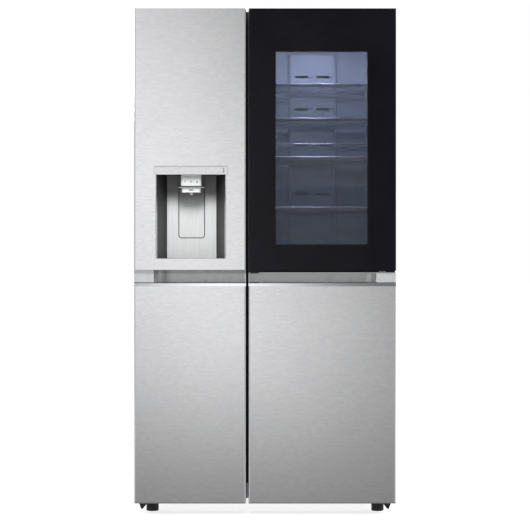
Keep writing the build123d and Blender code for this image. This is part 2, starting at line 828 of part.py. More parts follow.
rack_wires = 7
wire_sides = 8
wire_seat = 0.05  # the welds are left out
with BuildPart() as wine_rack:
    rail_x = widened(fridge_x, -side_play)
    rack_y = (shelf_front + 20, fridge_shelf_back - 20)
    for rail_y in (rack_y[0] + 6, sum(rack_y) / 2, rack_y[1] - 6):
        with BuildSketch(side_section(rail_x[0])) as rail:
            with Locations((rail_y, wine_rack_z)):
                RegularPolygon(wire_radius, wire_sides, major_radius=False, rotation=22.5)
        extrude(rail.sketch, amount=length(rail_x))
    for wire in range(rack_wires):
        wire_x = rail_x[0] + 26 + wire * (length(rail_x) - 52) / (rack_wires - 1)
        wire_z = wine_rack_z + wire_radius + thin_wire_radius + wire_seat
        with BuildSketch(front_section(rack_y[1])) as bar:
            with Locations((wire_x, wire_z)):
                RegularPolygon(thin_wire_radius, wire_sides, major_radius=False, rotation=22.5)
        extrude(bar.sketch, amount=length(rack_y))
save(wine_rack, "wine_rack")


# ---- Drawers ----


def tub(x, y, z, cut, wall, step=None):
    """Open-topped moulding with cut rear corners, or with a raised floor at the back."""
    with BuildPart() as shell:
        if step is None:
            eased_block(x, y, z, cut, "back", chamfer)
            inner_cut = cut - wall * math.tan(math.pi / 8)
            inside = (widened(x, -wall), widened(y, -wall), (z[0] + wall, z[1] + 1))
            eased_block(*inside, inner_cut, "back", chamfer, Mode.SUBTRACT)
        else:
            outline = [
                (y[0], z[0]), (step[0], z[0]), (step[1], step[2]), (y[1], step[2]),
                (y[1], z[1]), (y[0], z[1]),
            ]
            side_prism(x, outline)
            with BuildSketch(side_section(x[0] + wall)) as inside:
                with BuildLine():
                    Polyline(*outline, close=True)
                make_face()
                offset(amount=-wall, kind=Kind.INTERSECTION)
                opened = (y[0] + wall, y[1] - wall)
                span_rectangle(opened, (z[1] - wall - 1, z[1] + 1))
            extrude(inside.sketch, amount=length(x) - 2 * wall, mode=Mode.SUBTRACT)
    return shell.part


def drawer(x, z, back, step=None):
    """Sliding drawer: tub, taller front with a grip lip, and side runners."""
    front = (drawer_front, drawer_front + 8)
    tub_x = widened(x, -ledge_width - 2)
    with BuildPart() as box:
        tub_y = (front[1] - drawer_wall, back)
        add(tub(tub_x, tub_y, z, drawer_cut, drawer_wall, step))
        span_box(widened(tub_x, 7), (front[0] + 3, front[1]), (z[0], z[1] + 4))
        side_prism(
            widened(tub_x, 7),
            [
                (front[0] + 3, z[1] - 22), (front[0], z[1] - 16), (front[0], z[1] + 4),
                (front[0] + 3, z[1] + 4),
            ],
        )
        for wall_x in ((tub_x[0] - 5, tub_x[0]), (tub_x[1], tub_x[1] + 5)):
            span_box(wall_x, (front[1], back - 12), (z[1] - 9, z[1] - 3))
    return box.part


lower_step = (step_start - 8, step_end - 8, step_top + 4)
drawer_low_z = (cavity_floor + drawer_seat, fridge_shelf_tops[5] - lower_drawer_headroom)
crisper_z = (fridge_shelf_tops[4] + drawer_seat, fridge_shelf_tops[3] - crisper_headroom)
basket_z = (
    freezer_shelf_tops[4] + drawer_seat, freezer_shelf_tops[3] - freezer_drawer_headroom,
)
crisper_back = fridge_shelf_back - 20
basket_back = freezer_shelf_back - 5

with BuildPart() as crisper_upper:
    add(drawer(fridge_x, crisper_z, crisper_back))
save(crisper_upper, "crisper_upper")

with BuildPart() as crisper_lower:
    add(drawer(fridge_x, drawer_low_z, crisper_back, lower_step))
save(crisper_lower, "crisper_lower")

with BuildPart() as freezer_drawer_upper:
    add(drawer(freezer_x, basket_z, basket_back))
save(freezer_drawer_upper, "freezer_drawer_upper")

with BuildPart() as freezer_drawer_lower:
    add(drawer(freezer_x, drawer_low_z, basket_back, lower_step))
save(freezer_drawer_lower, "freezer_drawer_lower")


# ---- Hinges, covers, feet and rollers ----

arm_z = (door_top + arm_lift, door_top + arm_lift + arm_thickness)
riser_y = (case_front + 6.0, case_front + 10.0)
plate_end = case_front + 85.5
pin_boss = 12.0
with BuildPart() as door_hinge_brackets:
    for side in (-1, 1):
        arm = around(pin_x - 8, 20)
        arm_x = tuple(sorted((side * arm[0], side * arm[1])))
        span_box(arm_x, (pin_y, riser_y[1]), arm_z)
        facet_bar(side * pin_x, pin_y, arm_z, pin_boss, 8)
        span_box(arm_x, riser_y, (case_top, arm_z[1]))
        span_box(arm_x, (riser_y[0], plate_end), (case_top, case_top + arm_thickness))
        upright_bar(side * pin_x, pin_y, (door_top - pin_engagement, arm_z[1]), pin_radius)
    for side in (-1, 1):
        plate = (pin_x - 57.5, pin_x + 12.5)
        plate_x = tuple(sorted((side * plate[0], side * plate[1])))
        plate_z = (door_bottom - washer_height - lower_plate, door_bottom - washer_height)
        span_box(plate_x, (pin_y - 12, case_front + 42), plate_z)
        span_box(plate_x, (case_front, case_front + 42), (plate_z[0], case_bottom))
        facet_bar(side * pin_x, pin_y, (plate_z[0], door_bottom), pin_boss, 6)
        upright_bar(side * pin_x, pin_y, (plate_z[0], door_bottom + pin_engagement), pin_radius)
        with BuildSketch(front_section(pin_y - 2)) as gusset:
            with BuildLine():
                Polyline(
                    (side * (pin_x + 8), plate_z[0]), (side * (pin_x - 20), plate_z[0]),
                    (side * (pin_x - 5), plate_z[0] - 19), (side * (pin_x + 1), plate_z[0] - 19),
                    close=True,
                )
            make_face()
        extrude(gusset.sketch, amount=4)
        bore = (plate_z[0] - 1, case_bottom + 1)
        upright_bar(side * foot_x, foot_y, bore, stud_radius + stud_fit, Mode.SUBTRACT)
save(door_hinge_brackets, "door_hinge_brackets")

cover_wall = 2.0
with BuildPart() as top_covers:
    for side in (-1, 1):
        hood = (pin_x - 42, pin_x + 20)
        hood_x = tuple(sorted((side * hood[0], side * hood[1])))
        low = arm_z[0] + 0.5
        hood_outline = [
            (pin_y - 18, low), (pin_y - 18, low + 4), (pin_y + 14, arm_z[1] + 5.5),
            (plate_end + 20, arm_z[1] + 5.5), (plate_end + 30, case_top),
            (case_front + 2, case_top), (case_front + 2, low),
        ]
        side_prism(hood_x, hood_outline)
        inner_x = widened(hood_x, -cover_wall)
        ceiling = arm_z[1] + 0.6
        span_box(inner_x, (pin_y - 14, riser_y[1] + 1), (low - 1, ceiling), Mode.SUBTRACT)
        inner_y = (riser_y[0] - 1, plate_end + 2)
        span_box(inner_x, inner_y, (case_top - 1, ceiling), Mode.SUBTRACT)
    sensor_x = around(gap_centre, 23)
    eased_block(sensor_x, (case_front - 3, case_front + 52), (case_top, door_top + 1), 6, "back")
    lip_x = around(gap_centre, 7)
    span_box(lip_x, (case_front - 3, case_front - 0.3), (case_top - 37, case_top + 1))
save(top_covers, "top_covers")


def levelling_foot(side):
    """Faceted foot on a stud that screws up into the lower hinge bracket."""
    with BuildPart() as foot:
        with BuildSketch(plan_section(0)):
            with Locations((side * foot_x, foot_y)):
                RegularPolygon(foot_radius, foot_sides)
        extrude(amount=foot_height)
        chamfer(faces().sort_by(Axis.Z)[0].edges(), length=2)
        upright_bar(side * foot_x, foot_y, (foot_height, stud_top), stud_radius)
    return foot.part


def rear_roller(side):
    """Wheel that turns on the base's axle."""
    place = side_section(side * roller_x)
    with BuildPart() as roller:
        with BuildSketch(place):
            with Locations((roller_y, roller_radius)):
                Circle(roller_radius)
                Circle(axle_radius + running_fit, mode=Mode.SUBTRACT)
        extrude(amount=roller_width / 2, both=True)
    return roller.part


with BuildPart() as levelling_foot_left:
    add(levelling_foot(-1))
save(levelling_foot_left, "levelling_foot_left")

with BuildPart() as levelling_foot_right:
    add(levelling_foot(1))
save(levelling_foot_right, "levelling_foot_right")

with BuildPart() as rear_roller_left:
    add(rear_roller(-1))
save(rear_roller_left, "rear_roller_left")

with BuildPart() as rear_roller_right:
    add(rear_roller(1))
save(rear_roller_right, "rear_roller_right")


# ---- Parts that both doors have ----


def folded_skin(x, z):
    """Sheet folded round the front and both sides of a door."""
    with BuildPart() as sheet:
        eased_block(x, (front_y, front_y + skin_depth), z, edge_radius, "front")
        inner_y = (skin_back, front_y + skin_depth + 1)
        inner_z = (z[0] - 1, z[1] + 1)
        inner_x = widened(x, -door_skin)
        inner_radius = edge_radius - door_skin
        eased_block(inner_x, inner_y, inner_z, inner_radius, "front", mode=Mode.SUBTRACT)
    return sheet.part


def pocket_ends(x, hinge_side):
    """Where the grip pocket's ramp starts and ends, and its closed free end."""
    hinge_edge = x[0] if hinge_side < 0 else x[1]
    free_edge = x[1] if hinge_side < 0 else x[0]
    ramp_start = hinge_edge - hinge_side * flush_length
    ramp_end = ramp_start - hinge_side * ramp_length
    return ramp_start, ramp_end, free_edge + hinge_side * 3


def handle_moulding(x, hinge_side, top):
    """Grip pocket across a door, with a curved run-in and a groove behind its lip."""
    ramp_start, ramp_end, free_end = pocket_ends(x, hinge_side)
    low = panel_split - 17
    groove_floor = panel_split + trim_height - pocket_drop
    groove_x = tuple(sorted((ramp_end, free_end)))
    with BuildPart() as moulding:
        wall_y = (skin_back, pocket_back + pocket_wall)
        hidden_radius = edge_radius - door_skin
        eased_block(widened(x, -door_skin), wall_y, (low, top + 3), hidden_radius, "front")
        eased_block(x, wall_y, (panel_split, min(top, upper_split)), edge_radius, "front")
        with BuildSketch(plan_section(panel_split + trim_height)) as grip:
            with BuildLine():
                Line((ramp_start, skin_back), (ramp_start, front_y - 1))
                Line((ramp_start, front_y - 1), (free_end, front_y - 1))
                Line((free_end, front_y - 1), (free_end, pocket_back))
                Line((free_end, pocket_back), (ramp_end, pocket_back))
                TangentArc(
                    (ramp_end, pocket_back), (ramp_start, skin_back), tangent=(hinge_side, 0)
                )
            make_face()
        extrude(grip.sketch, amount=top - panel_split - trim_height, mode=Mode.SUBTRACT)
        groove_z = (groove_floor, panel_split + trim_height + 1)
        span_box(groove_x, (trim_back, pocket_back), groove_z, mode=Mode.SUBTRACT)
        seat_z = (panel_split, panel_split + trim_height)
        span_box(widened(x, 1), (front_y - 1, trim_back), seat_z, mode=Mode.SUBTRACT)
    return moulding.part


def handle_trim(x):
    """Bevelled metal strip along the lip."""
    z = (panel_split, panel_split + trim_height)
    with BuildPart() as strip:
        side_prism(
            x,
            [
                (front_y, z[0]), (trim_back, z[0]), (trim_back, z[1]), (front_y + 4, z[1]),
                (front_y, z[1] - 3.5),
            ],
        )
    return strip.part


def bellows_seal(x, z, y, band):
    """Magnetic door seal: foot, folded bellows and magnet strip."""
    foot_y = (y[0], y[0] + length(y) * 0.3)
    magnet_y = (y[1] - length(y) * 0.28, y[1])
    with BuildPart() as seal:
        ring(x, z, foot_y, band)
        ring(widened(x, -band / 4), widened(z, -band / 4), (foot_y[1], magnet_y[0]), band / 2)
        ring(widened(x, -1), widened(z, -1), magnet_y, band - 2)
    return seal.part


def door_bin(x, y, z):
    """Shelf bin clipped between the dike walls, with a rolled bar along its rear wall."""
    with BuildPart() as bin_shell:
        add(tub(x, y, z, bin_cut, bin_wall))
        bar_y = (y[1] - bin_wall - 2.5, y[1] - bin_wall)
        span_box(widened(x, -bin_cut), bar_y, (z[1] - 6, z[1]))
    return bin_shell.part


seal_y = (door_back, case_front - 0.3)
seal_z = (case_bottom + 6, case_top - 6)
pin_bore = pin_radius + pin_fit
low_bore = (door_bottom - 1, door_bottom + pin_engagement + 2)
high_bore = (door_top - pin_engagement - 2, door_top + 1)


# ---- Freezer door ----

freezer_inner_x = widened(freezer_door_x, -door_skin)
housing_x = widened(recess_front_x, housing_wall)
housing_z = (recess_floor - housing_wall, bezel_z[1] + housing_wall)
housing_y = (skin_back, recess_back + housing_wall)
paddle_hole_x = widened(paddle_x, paddle_gap)
paddle_hole_z = (paddle_bottom - paddle_gap, paddle_axis_z + 7)
paddle_pocket_y = (recess_back, recess_back + paddle_pocket)
paddle_axis_y = recess_back + 3.5
bezel_y = (front_y, front_y + bezel_depth)

with BuildPart() as freezer_door_panels:
    add(folded_skin(freezer_door_x, (upper_split, door_top)))
    cut_y = (front_y - 1, skin_back + 1)
    span_box(bezel_x, cut_y, bezel_z, mode=Mode.SUBTRACT)
    span_box(recess_front_x, cut_y, (recess_floor, recess_ceiling + 1), mode=Mode.SUBTRACT)
    add(folded_skin(freezer_door_x, (door_bottom, panel_split)))
save(freezer_door_panels, "freezer_door_panels")

with BuildPart() as freezer_door_body:
    body_z = (door_bottom, door_top)
    radius = edge_radius - door_skin
    eased_block(freezer_inner_x, (skin_back, body_back), body_z, radius, "front")
    side_y = (pocket_back + pocket_wall, front_y + skin_depth)
    span_box(freezer_door_x, side_y, (panel_split, upper_split))
    bulge_x = widened(freezer_dike_x, -dike_wall)
    bulge_y = (body_back, door_back + bulge_depth - liner_sheet)
    span_box(widened(bulge_x, -liner_sheet), bulge_y, widened(bulge_z, -liner_sheet))
    handle_y = (front_y, pocket_back + pocket_wall)
    handle_z = (panel_split - 17, upper_split + 3)
    span_box(widened(freezer_door_x, 1), handle_y, handle_z, mode=Mode.SUBTRACT)
    span_box(housing_x, housing_y, housing_z, mode=Mode.SUBTRACT)
    span_box(bezel_x, (skin_back, bezel_y[1]), bezel_z, mode=Mode.SUBTRACT)
    hole_x = widened(paddle_hole_x, 2)
    hole_y = (recess_back, paddle_pocket_y[1] + 2)
    span_box(hole_x, hole_y, widened(paddle_hole_z, 2), mode=Mode.SUBTRACT)
    upright_bar(-pin_x, pin_y, low_bore, pin_bore, Mode.SUBTRACT)
    upright_bar(-pin_x, pin_y, high_bore, pin_bore, Mode.SUBTRACT)
save(freezer_door_body, "freezer_door_body")

with BuildPart() as freezer_door_liner:
    sheet_z = widened((door_bottom, door_top), -2)
    span_box(freezer_inner_x, (body_back, door_back), sheet_z)
    dike_y = (door_back, door_back + dike_depth)
    ring(freezer_dike_x, dike_z, dike_y, dike_wall)
    span_box(bulge_x, (door_back, door_back + bulge_depth), bulge_z)
    span_box(
        widened(bulge_x, -liner_sheet), (body_back - 1, bulge_y[1]),
        widened(bulge_z, -liner_sheet), mode=Mode.SUBTRACT,
    )
save(freezer_door_liner, "freezer_door_liner")

with BuildPart() as freezer_door_gasket:
    seal_x = (-pin_x + 4.5, freezer_door_x[1] - 4.5)
    add(bellows_seal(seal_x, seal_z, seal_y, seal_width))
save(freezer_door_gasket, "freezer_door_gasket")

with BuildPart() as freezer_handle:
    add(handle_moulding(freezer_door_x, -1, upper_split))
save(freezer_handle, "freezer_handle")

with BuildPart() as freezer_handle_trim:
    add(handle_trim(freezer_door_x))
save(freezer_handle_trim, "freezer_handle_trim")

with BuildPart() as dispenser_housing:
    span_box(housing_x, housing_y, housing_z)
    span_box(hole_x, hole_y, widened(paddle_hole_z, 2))
    recess_z = (recess_floor, recess_ceiling)
    plan_prism(
        recess_z,
        [
            (recess_front_x[0], front_y), (recess_front_x[0], skin_back),
            (recess_back_x[0], recess_back), (recess_back_x[1], recess_back),
            (recess_front_x[1], skin_back), (recess_front_x[1], front_y),
        ],
        Mode.SUBTRACT,
    )
    span_box(paddle_hole_x, (recess_back - 1, paddle_pocket_y[1]), paddle_hole_z, Mode.SUBTRACT)
    span_box(bezel_x, (skin_back - 1, bezel_y[1]), bezel_z, mode=Mode.SUBTRACT)
    pin_span = widened(paddle_x, paddle_gap + 1.5)
    cross_bar(pin_span, paddle_axis_y, paddle_axis_z, 2 + running_fit, Mode.SUBTRACT)
save(dispenser_housing, "dispenser_housing")

with BuildPart() as dispenser_bezel:
    span_box(bezel_x, bezel_y, bezel_z)
    chamfer(faces().sort_by(Axis.Y)[0].edges(), length=0.6)
save(dispenser_bezel, "dispenser_bezel")

with BuildPart() as dispenser_back_plate:
    with BuildSketch(front_section(recess_back)) as plate:
        span_rectangle(widened(recess_back_x, -0.3), (recess_floor + 0.3, recess_ceiling - 0.3))
        fillet(plate.vertices().group_by(Axis.Y)[0], radius=8)
    extrude(plate.sketch, amount=plate_thickness)
    with BuildSketch(front_section(recess_back)) as window:
        span_rectangle(paddle_hole_x, paddle_hole_z)
        fillet(window.vertices().group_by(Axis.Y)[0], radius=12)
    extrude(window.sketch, amount=plate_thickness, mode=Mode.SUBTRACT)
save(dispenser_back_plate, "dispenser_back_plate")

plate_face = recess_back - plate_thickness
head_y = (front_y + nozzle_front, plate_face)
head_z = (recess_ceiling - nozzle_height, recess_ceiling)
key_z = sum(head_z) / 2 - 1
key_y = (head_y[0] - 0.8, head_y[0] + 4)
key_places = [(dispenser_x + step * key_pitch, key_z) for step in (-1, 0, 1)]

with BuildPart() as dispenser_nozzle:
    eased_block(nozzle_x, head_y, head_z, 8, "front")
    flange_z = (head_z[0] - flange_drop - 4, head_z[0] - flange_drop)
    flange_x = widened(nozzle_x, flange_overhang)
    eased_block(flange_x, (head_y[0] + 5, plate_face), flange_z, 12, "front")
    neck_z = (flange_z[1], head_z[0])
    span_box(widened(nozzle_x, -4), (head_y[0] + 8, plate_face - 6), neck_z)
    block_z = (flange_z[0] - 16, flange_z[0])
    eased_block(widened(nozzle_x, -2.5), (head_y[0] + 10, plate_face - 6), block_z, 8, "front")
    with Locations((dispenser_x, sum(head_y) / 2, block_z[0] - 4.5)):
        Cylinder(5, 9)
    for place in key_places:
        span_box(
            around(place[0], key_width / 2 + key_fit),
            (head_y[0] - 1, key_y[1] + key_stem + key_travel + 0.2),
            around(place[1], key_height / 2 + key_fit),
            Mode.SUBTRACT,
        )
save(dispenser_nozzle, "dispenser_nozzle")


def selector_key(place):
    """Push key in the dispenser head, with a softly chamfered cap."""
    with BuildPart() as key:
        with BuildSketch(front_section(key_y[1])):
            with Locations(place):
                Rectangle(key_width, key_height)
        extrude(amount=length(key_y))
        chamfer(faces().sort_by(Axis.Y)[0].edges(), length=0.5)
        with BuildSketch(front_section(key_y[1] + key_stem)):
            with Locations(place):
                Rectangle(6, 6)
        extrude(amount=key_stem)
    return key.part


for number, place in enumerate(key_places, start=1):
    with BuildPart() as selector:
        add(selector_key(place))
    save(selector, f"selector_key_{number}")

with BuildPart() as dispenser_paddle:
    with BuildSketch(front_section(plate_face + paddle_thickness)) as blade:
        span_rectangle(paddle_x, (paddle_bottom, paddle_axis_z))
        fillet(blade.vertices().group_by(Axis.Y)[0], radius=9)
    extrude(blade.sketch, amount=paddle_thickness)
    span_box(paddle_x, around(paddle_axis_y, 4.5), around(paddle_axis_z, 4.5))
    trunnions = widened(paddle_x, paddle_gap + 1)
    cross_bar(trunnions, paddle_axis_y, paddle_axis_z, 2)
save(dispenser_paddle, "dispenser_paddle")

bin_x = widened(freezer_dike_x, -dike_wall - bin_play)
maker_top = dike_z[1] - ice_maker_drop
maker_base = maker_top - ice_maker_height
with BuildPart() as ice_bin:
    hopper_y = (door_back + 0.3, door_back + ice_bin_reach)
    add(tub(bin_x, hopper_y, (bulge_z[1] + 0.3, maker_base - ice_drop), 14, 3.0))
    chute_y = around(sum(hopper_y) / 2, 20)
    chute_z = widened((bulge_z[1], bulge_z[1] + 3.5), 1)
    span_box(around(dispenser_x, 26), chute_y, chute_z, mode=Mode.SUBTRACT)
save(ice_bin, "ice_bin")

tray_cubes = 6
with BuildPart() as ice_maker:
    tray_x = (bin_x[0] + 4, bin_x[1] - 44)
    tray_y = (door_back, door_back + ice_maker_reach - 6)
    tray_z = (maker_base + 36, maker_base + 76)
    span_box(tray_x, tray_y, tray_z)
    pocket_pitch = length(tray_x) / tray_cubes
    for cube in range(tray_cubes):
        cube_x = tray_x[0] + (cube + 0.5) * pocket_pitch
        pocket_x = around(cube_x, pocket_pitch / 2 - 2)
        side_prism(
            pocket_x,
            [
                (tray_y[0] + 9, tray_z[1] + 1), (tray_y[0] + 16, tray_z[1] - 22),
                (tray_y[1] - 16, tray_z[1] - 22), (tray_y[1] - 9, tray_z[1] + 1),
            ],
            Mode.SUBTRACT,
        )
    gearbox_y = (door_back, door_back + ice_maker_reach)
    span_box((tray_x[1], bin_x[1] - 2), gearbox_y, (maker_base, maker_top - 8))
    span_box((bin_x[0] + 2, bin_x[1] - 2), (door_back, door_back + 4), (maker_base, maker_top))
save(ice_maker, "ice_maker")

with BuildPart() as freezer_door_bins:
    bin_y = (door_back + 1, door_back + freezer_bin_reach)
    for level in range(3):
        base = dike_z[0] + freezer_bin_rise + level * freezer_bin_pitch
        add(door_bin(bin_x, bin_y, (base, base + freezer_bin_height)))
save(freezer_door_bins, "freezer_door_bins")


# ---- Fridge door ----

fridge_inner_x = widened(fridge_door_x, -door_skin)
pocket_top = showcase_bottom - arm_space
arm_level = pocket_top + 3
with BuildPart() as fridge_lower_panel:
    add(folded_skin(fridge_door_x, (door_bottom, panel_split)))
save(fridge_lower_panel, "fridge_lower_panel")

with BuildPart() as fridge_door_body:
    radius = edge_radius - door_skin
    low_z = (door_bottom, panel_split - 17)
    eased_block(fridge_inner_x, (skin_back, body_back), low_z, radius, "front")
    mid_z = (low_z[1], showcase_bottom)
    span_box(fridge_inner_x, (pocket_back + pocket_wall, body_back), mid_z)
    span_box(fridge_door_x, side_y, (panel_split, showcase_bottom))
    high_z = (showcase_bottom - 1.4, door_top)
    span_box(fridge_door_x, (frame_face, body_back), high_z)
    through = (frame_face - 1, body_back + 1)
    span_box(opening_x, through, opening_z, mode=Mode.SUBTRACT)
    upright_bar(pin_x, pin_y, low_bore, pin_bore, Mode.SUBTRACT)
    upright_bar(pin_x, pin_y, high_bore, pin_bore, Mode.SUBTRACT)
save(fridge_door_body, "fridge_door_body")

with BuildPart() as fridge_door_liner:
    span_box(fridge_inner_x, (body_back, door_back), sheet_z)
    dike_y = (door_back, door_back + dike_depth)
    span_box(fridge_dike_x, dike_y, dike_z)
    low_hollow_x = widened(fridge_dike_x, -dike_rim)
    low_hollow = (dike_z[0] + dike_rim, opening_z[0] - dike_wall)
    beyond = dike_y[1] + 1
    span_box(low_hollow_x, (door_back, beyond), low_hollow, mode=Mode.SUBTRACT)
    span_box(opening_x, (frame_face, body_back), opening_z)
    span_box(
        widened(opening_x, -liner_sheet), (frame_face - 1, beyond),
        (opening_z[0] + liner_sheet, dike_z[1] - dike_wall), mode=Mode.SUBTRACT,
    )
save(fridge_door_liner, "fridge_door_liner")

with BuildPart() as fridge_door_gasket:
    seal_x = (fridge_door_x[0] + 4.5, pin_x - 4.5)
    add(bellows_seal(seal_x, seal_z, seal_y, seal_width))
save(fridge_door_gasket, "fridge_door_gasket")

with BuildPart() as fridge_handle:
    add(handle_moulding(fridge_door_x, 1, pocket_top))
    notch_y = (front_y - 1, pocket_back - 10)
    span_box(widened(latch_x, 2), notch_y, (pocket_top - 1, pocket_top + 4), mode=Mode.SUBTRACT)
save(fridge_handle, "fridge_handle")

with BuildPart() as fridge_handle_trim:
    add(handle_trim(fridge_door_x))
save(fridge_handle_trim, "fridge_handle_trim")

upper_bin_x = widened(opening_x, -liner_sheet - bin_play)
low_bin_x = widened(low_hollow_x, -bin_play)
with BuildPart() as fridge_door_bins:
    bins_back = door_back + fridge_bin_reach
    upper_pitch = (length(opening_z) - bin_headroom) / len(upper_bin_heights)
    for level, height in enumerate(upper_bin_heights):
        base = opening_z[0] + liner_sheet + 0.3 + level * upper_pitch
        add(door_bin(upper_bin_x, (frame_face + 6, bins_back), (base, base + height)))
    for level in range(2):
        base = dike_z[0] + low_bin_rise + level * low_bin_pitch
        add(door_bin(low_bin_x, (door_back + 1, bins_back), (base, base + low_bin_height)))
save(fridge_door_bins, "fridge_door_bins")

notch_z = door_top - 13
arm_gap = 4.0
with BuildPart() as showcase_hinges:
    hook_x = around(showcase_pin_x, 9)
    hook_z = (notch_z + arm_gap, notch_z + arm_gap + 4)
    plate_y = (frame_face - 4, frame_face)
    span_box(widened(hook_x, 1.5), plate_y, (hook_z[1] - 44, hook_z[1]))
    span_box(hook_x, (showcase_pin_y, frame_face), hook_z)
    facet_bar(showcase_pin_x, showcase_pin_y, hook_z, 9, 8)
    upright_bar(showcase_pin_x, showcase_pin_y, (notch_z - 12, hook_z[1]), showcase_pin_radius)
    low_arm_z = (arm_level, arm_level + 4.5)
    arm_x = (showcase_pin_x - 142.5, showcase_pin_x - 42.5, showcase_pin_x + 9.5)
    plan_prism(
        low_arm_z,
        [
            (arm_x[0], pocket_back + 3), (arm_x[0], pocket_back - 8), (arm_x[1], front_y + 12),
            (arm_x[2], front_y + 12), (arm_x[2], pocket_back + 3),
        ],
    )
    low_pin = (low_arm_z[0], showcase_bottom + 15)
    upright_bar(showcase_pin_x, showcase_pin_y, low_pin, showcase_pin_radius)
    facet_bar(showcase_pin_x, showcase_pin_y, (low_arm_z[0], showcase_bottom - 0.2), 8, 6)
save(showcase_hinges, "showcase_hinges")


# ---- Showcase ----

showcase_z = (showcase_bottom, door_top)
pin_hole = showcase_pin_radius + pin_fit
latch_axis_y = showcase_back - 19.5
latch_axis_z = showcase_bottom + 9
with BuildPart() as showcase_glass:
    with BuildSketch(front_section(glass_back)) as pane:
        span_rectangle(showcase_x, showcase_z)
        fillet(pane.vertices(), radius=2)
    extrude(pane.sketch, amount=glass_thickness)
    rebate_y = (front_y + pane_setback, showcase_back)
    pane_x = widened(window_x, pane_rebate - pane_play)
    pane_z = widened(window_z, pane_rebate - pane_play)
    span_box(pane_x, (rebate_y[0], rebate_y[0] + pane_thickness), pane_z)
save(showcase_glass, "showcase_glass")

with BuildPart() as showcase_frame:
    with BuildSketch(plan_section(showcase_z[0])) as section:
        span_rectangle(showcase_x, (glass_back, showcase_back))
        rear = section.vertices().group_by(Axis.Y)[-1]
        chamfer(rear.sort_by(Axis.X)[-1], length=back_chamfer)
        chamfer(rear.sort_by(Axis.X)[0], length=2)
    extrude(section.sketch, amount=length(showcase_z))
    span_box(window_x, (glass_back - 1, showcase_back + 1), window_z, mode=Mode.SUBTRACT)
    wide_x = widened(window_x, pane_rebate)
    wide_z = widened(window_z, pane_rebate)
    span_box(wide_x, (rebate_y[0], showcase_back + 1), wide_z, mode=Mode.SUBTRACT)
    notch_x = (showcase_pin_x - 22.5, showcase_x[1] + 1)
    notch_y = (glass_back, showcase_back + 1)
    span_box(notch_x, notch_y, (notch_z, door_top + 1), mode=Mode.SUBTRACT)
    high = (notch_z - 14, notch_z + 1)
    upright_bar(showcase_pin_x, showcase_pin_y, high, pin_hole, Mode.SUBTRACT)
    low = (showcase_bottom - 1, showcase_bottom + 17)
    upright_bar(showcase_pin_x, showcase_pin_y, low, pin_hole, Mode.SUBTRACT)
    slot_y = (glass_back + 1, showcase_back - 6)
    slot_z = (showcase_bottom - 1, showcase_bottom + 16)
    span_box(widened(latch_x, 1), slot_y, slot_z, mode=Mode.SUBTRACT)
    cross_bar(widened(latch_x, 4), latch_axis_y, latch_axis_z, 2 + running_fit, Mode.SUBTRACT)
save(showcase_frame, "showcase_frame")

with BuildPart() as showcase_gasket:
    frame_seal_x = (showcase_x[0] + 10.5, showcase_pin_x - 12.5)
    frame_seal_z = (showcase_bottom + 14, door_top - 15)
    frame_seal_y = (showcase_back, frame_face - 0.3)
    add(bellows_seal(frame_seal_x, frame_seal_z, frame_seal_y, seal_width))
save(showcase_gasket, "showcase_gasket")

ridge_pitch = 3.0
with BuildPart() as release_latch:
    grip_z = (showcase_bottom - latch_reach, latch_axis_z + 4)
    span_box(latch_x, around(latch_axis_y, 4), grip_z)
    cross_bar(widened(latch_x, 3.5), latch_axis_y, latch_axis_z, 2)
    for ridge in range(3):
        ridge_z = grip_z[0] + 0.8 + ridge * ridge_pitch
        ridge_y = (latch_axis_y - 5.2, latch_axis_y - 4)
        span_box(widened(latch_x, -2), ridge_y, (ridge_z, ridge_z + 1.4))
save(release_latch, "release_latch")
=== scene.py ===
import json
import math
import bmesh
import bpy
from mathutils import Matrix, Vector


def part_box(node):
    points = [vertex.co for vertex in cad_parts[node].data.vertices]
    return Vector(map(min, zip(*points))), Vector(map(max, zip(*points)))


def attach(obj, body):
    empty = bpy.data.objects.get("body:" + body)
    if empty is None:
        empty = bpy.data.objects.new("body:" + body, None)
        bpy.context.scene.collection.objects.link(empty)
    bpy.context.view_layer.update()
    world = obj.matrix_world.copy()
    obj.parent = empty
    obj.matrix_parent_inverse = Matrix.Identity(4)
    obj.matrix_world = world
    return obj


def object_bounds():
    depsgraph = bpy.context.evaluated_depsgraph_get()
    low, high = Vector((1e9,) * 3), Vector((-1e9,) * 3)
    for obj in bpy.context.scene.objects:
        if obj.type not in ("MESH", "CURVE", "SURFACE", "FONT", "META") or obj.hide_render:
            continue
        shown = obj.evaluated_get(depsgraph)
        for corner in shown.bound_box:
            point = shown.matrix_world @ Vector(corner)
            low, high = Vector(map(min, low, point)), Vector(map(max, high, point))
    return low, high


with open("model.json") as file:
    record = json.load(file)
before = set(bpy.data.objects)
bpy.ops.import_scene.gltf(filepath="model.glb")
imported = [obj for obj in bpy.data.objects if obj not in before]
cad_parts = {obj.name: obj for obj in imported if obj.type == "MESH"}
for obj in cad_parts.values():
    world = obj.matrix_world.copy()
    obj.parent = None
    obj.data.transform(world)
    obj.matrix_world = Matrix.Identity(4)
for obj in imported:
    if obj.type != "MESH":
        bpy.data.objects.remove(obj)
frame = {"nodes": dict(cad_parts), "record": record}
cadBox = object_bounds()
nodes = frame["nodes"]
scene = bpy.context.scene
print("frame loaded:", len(nodes), "nodes")


# Shader arithmetic

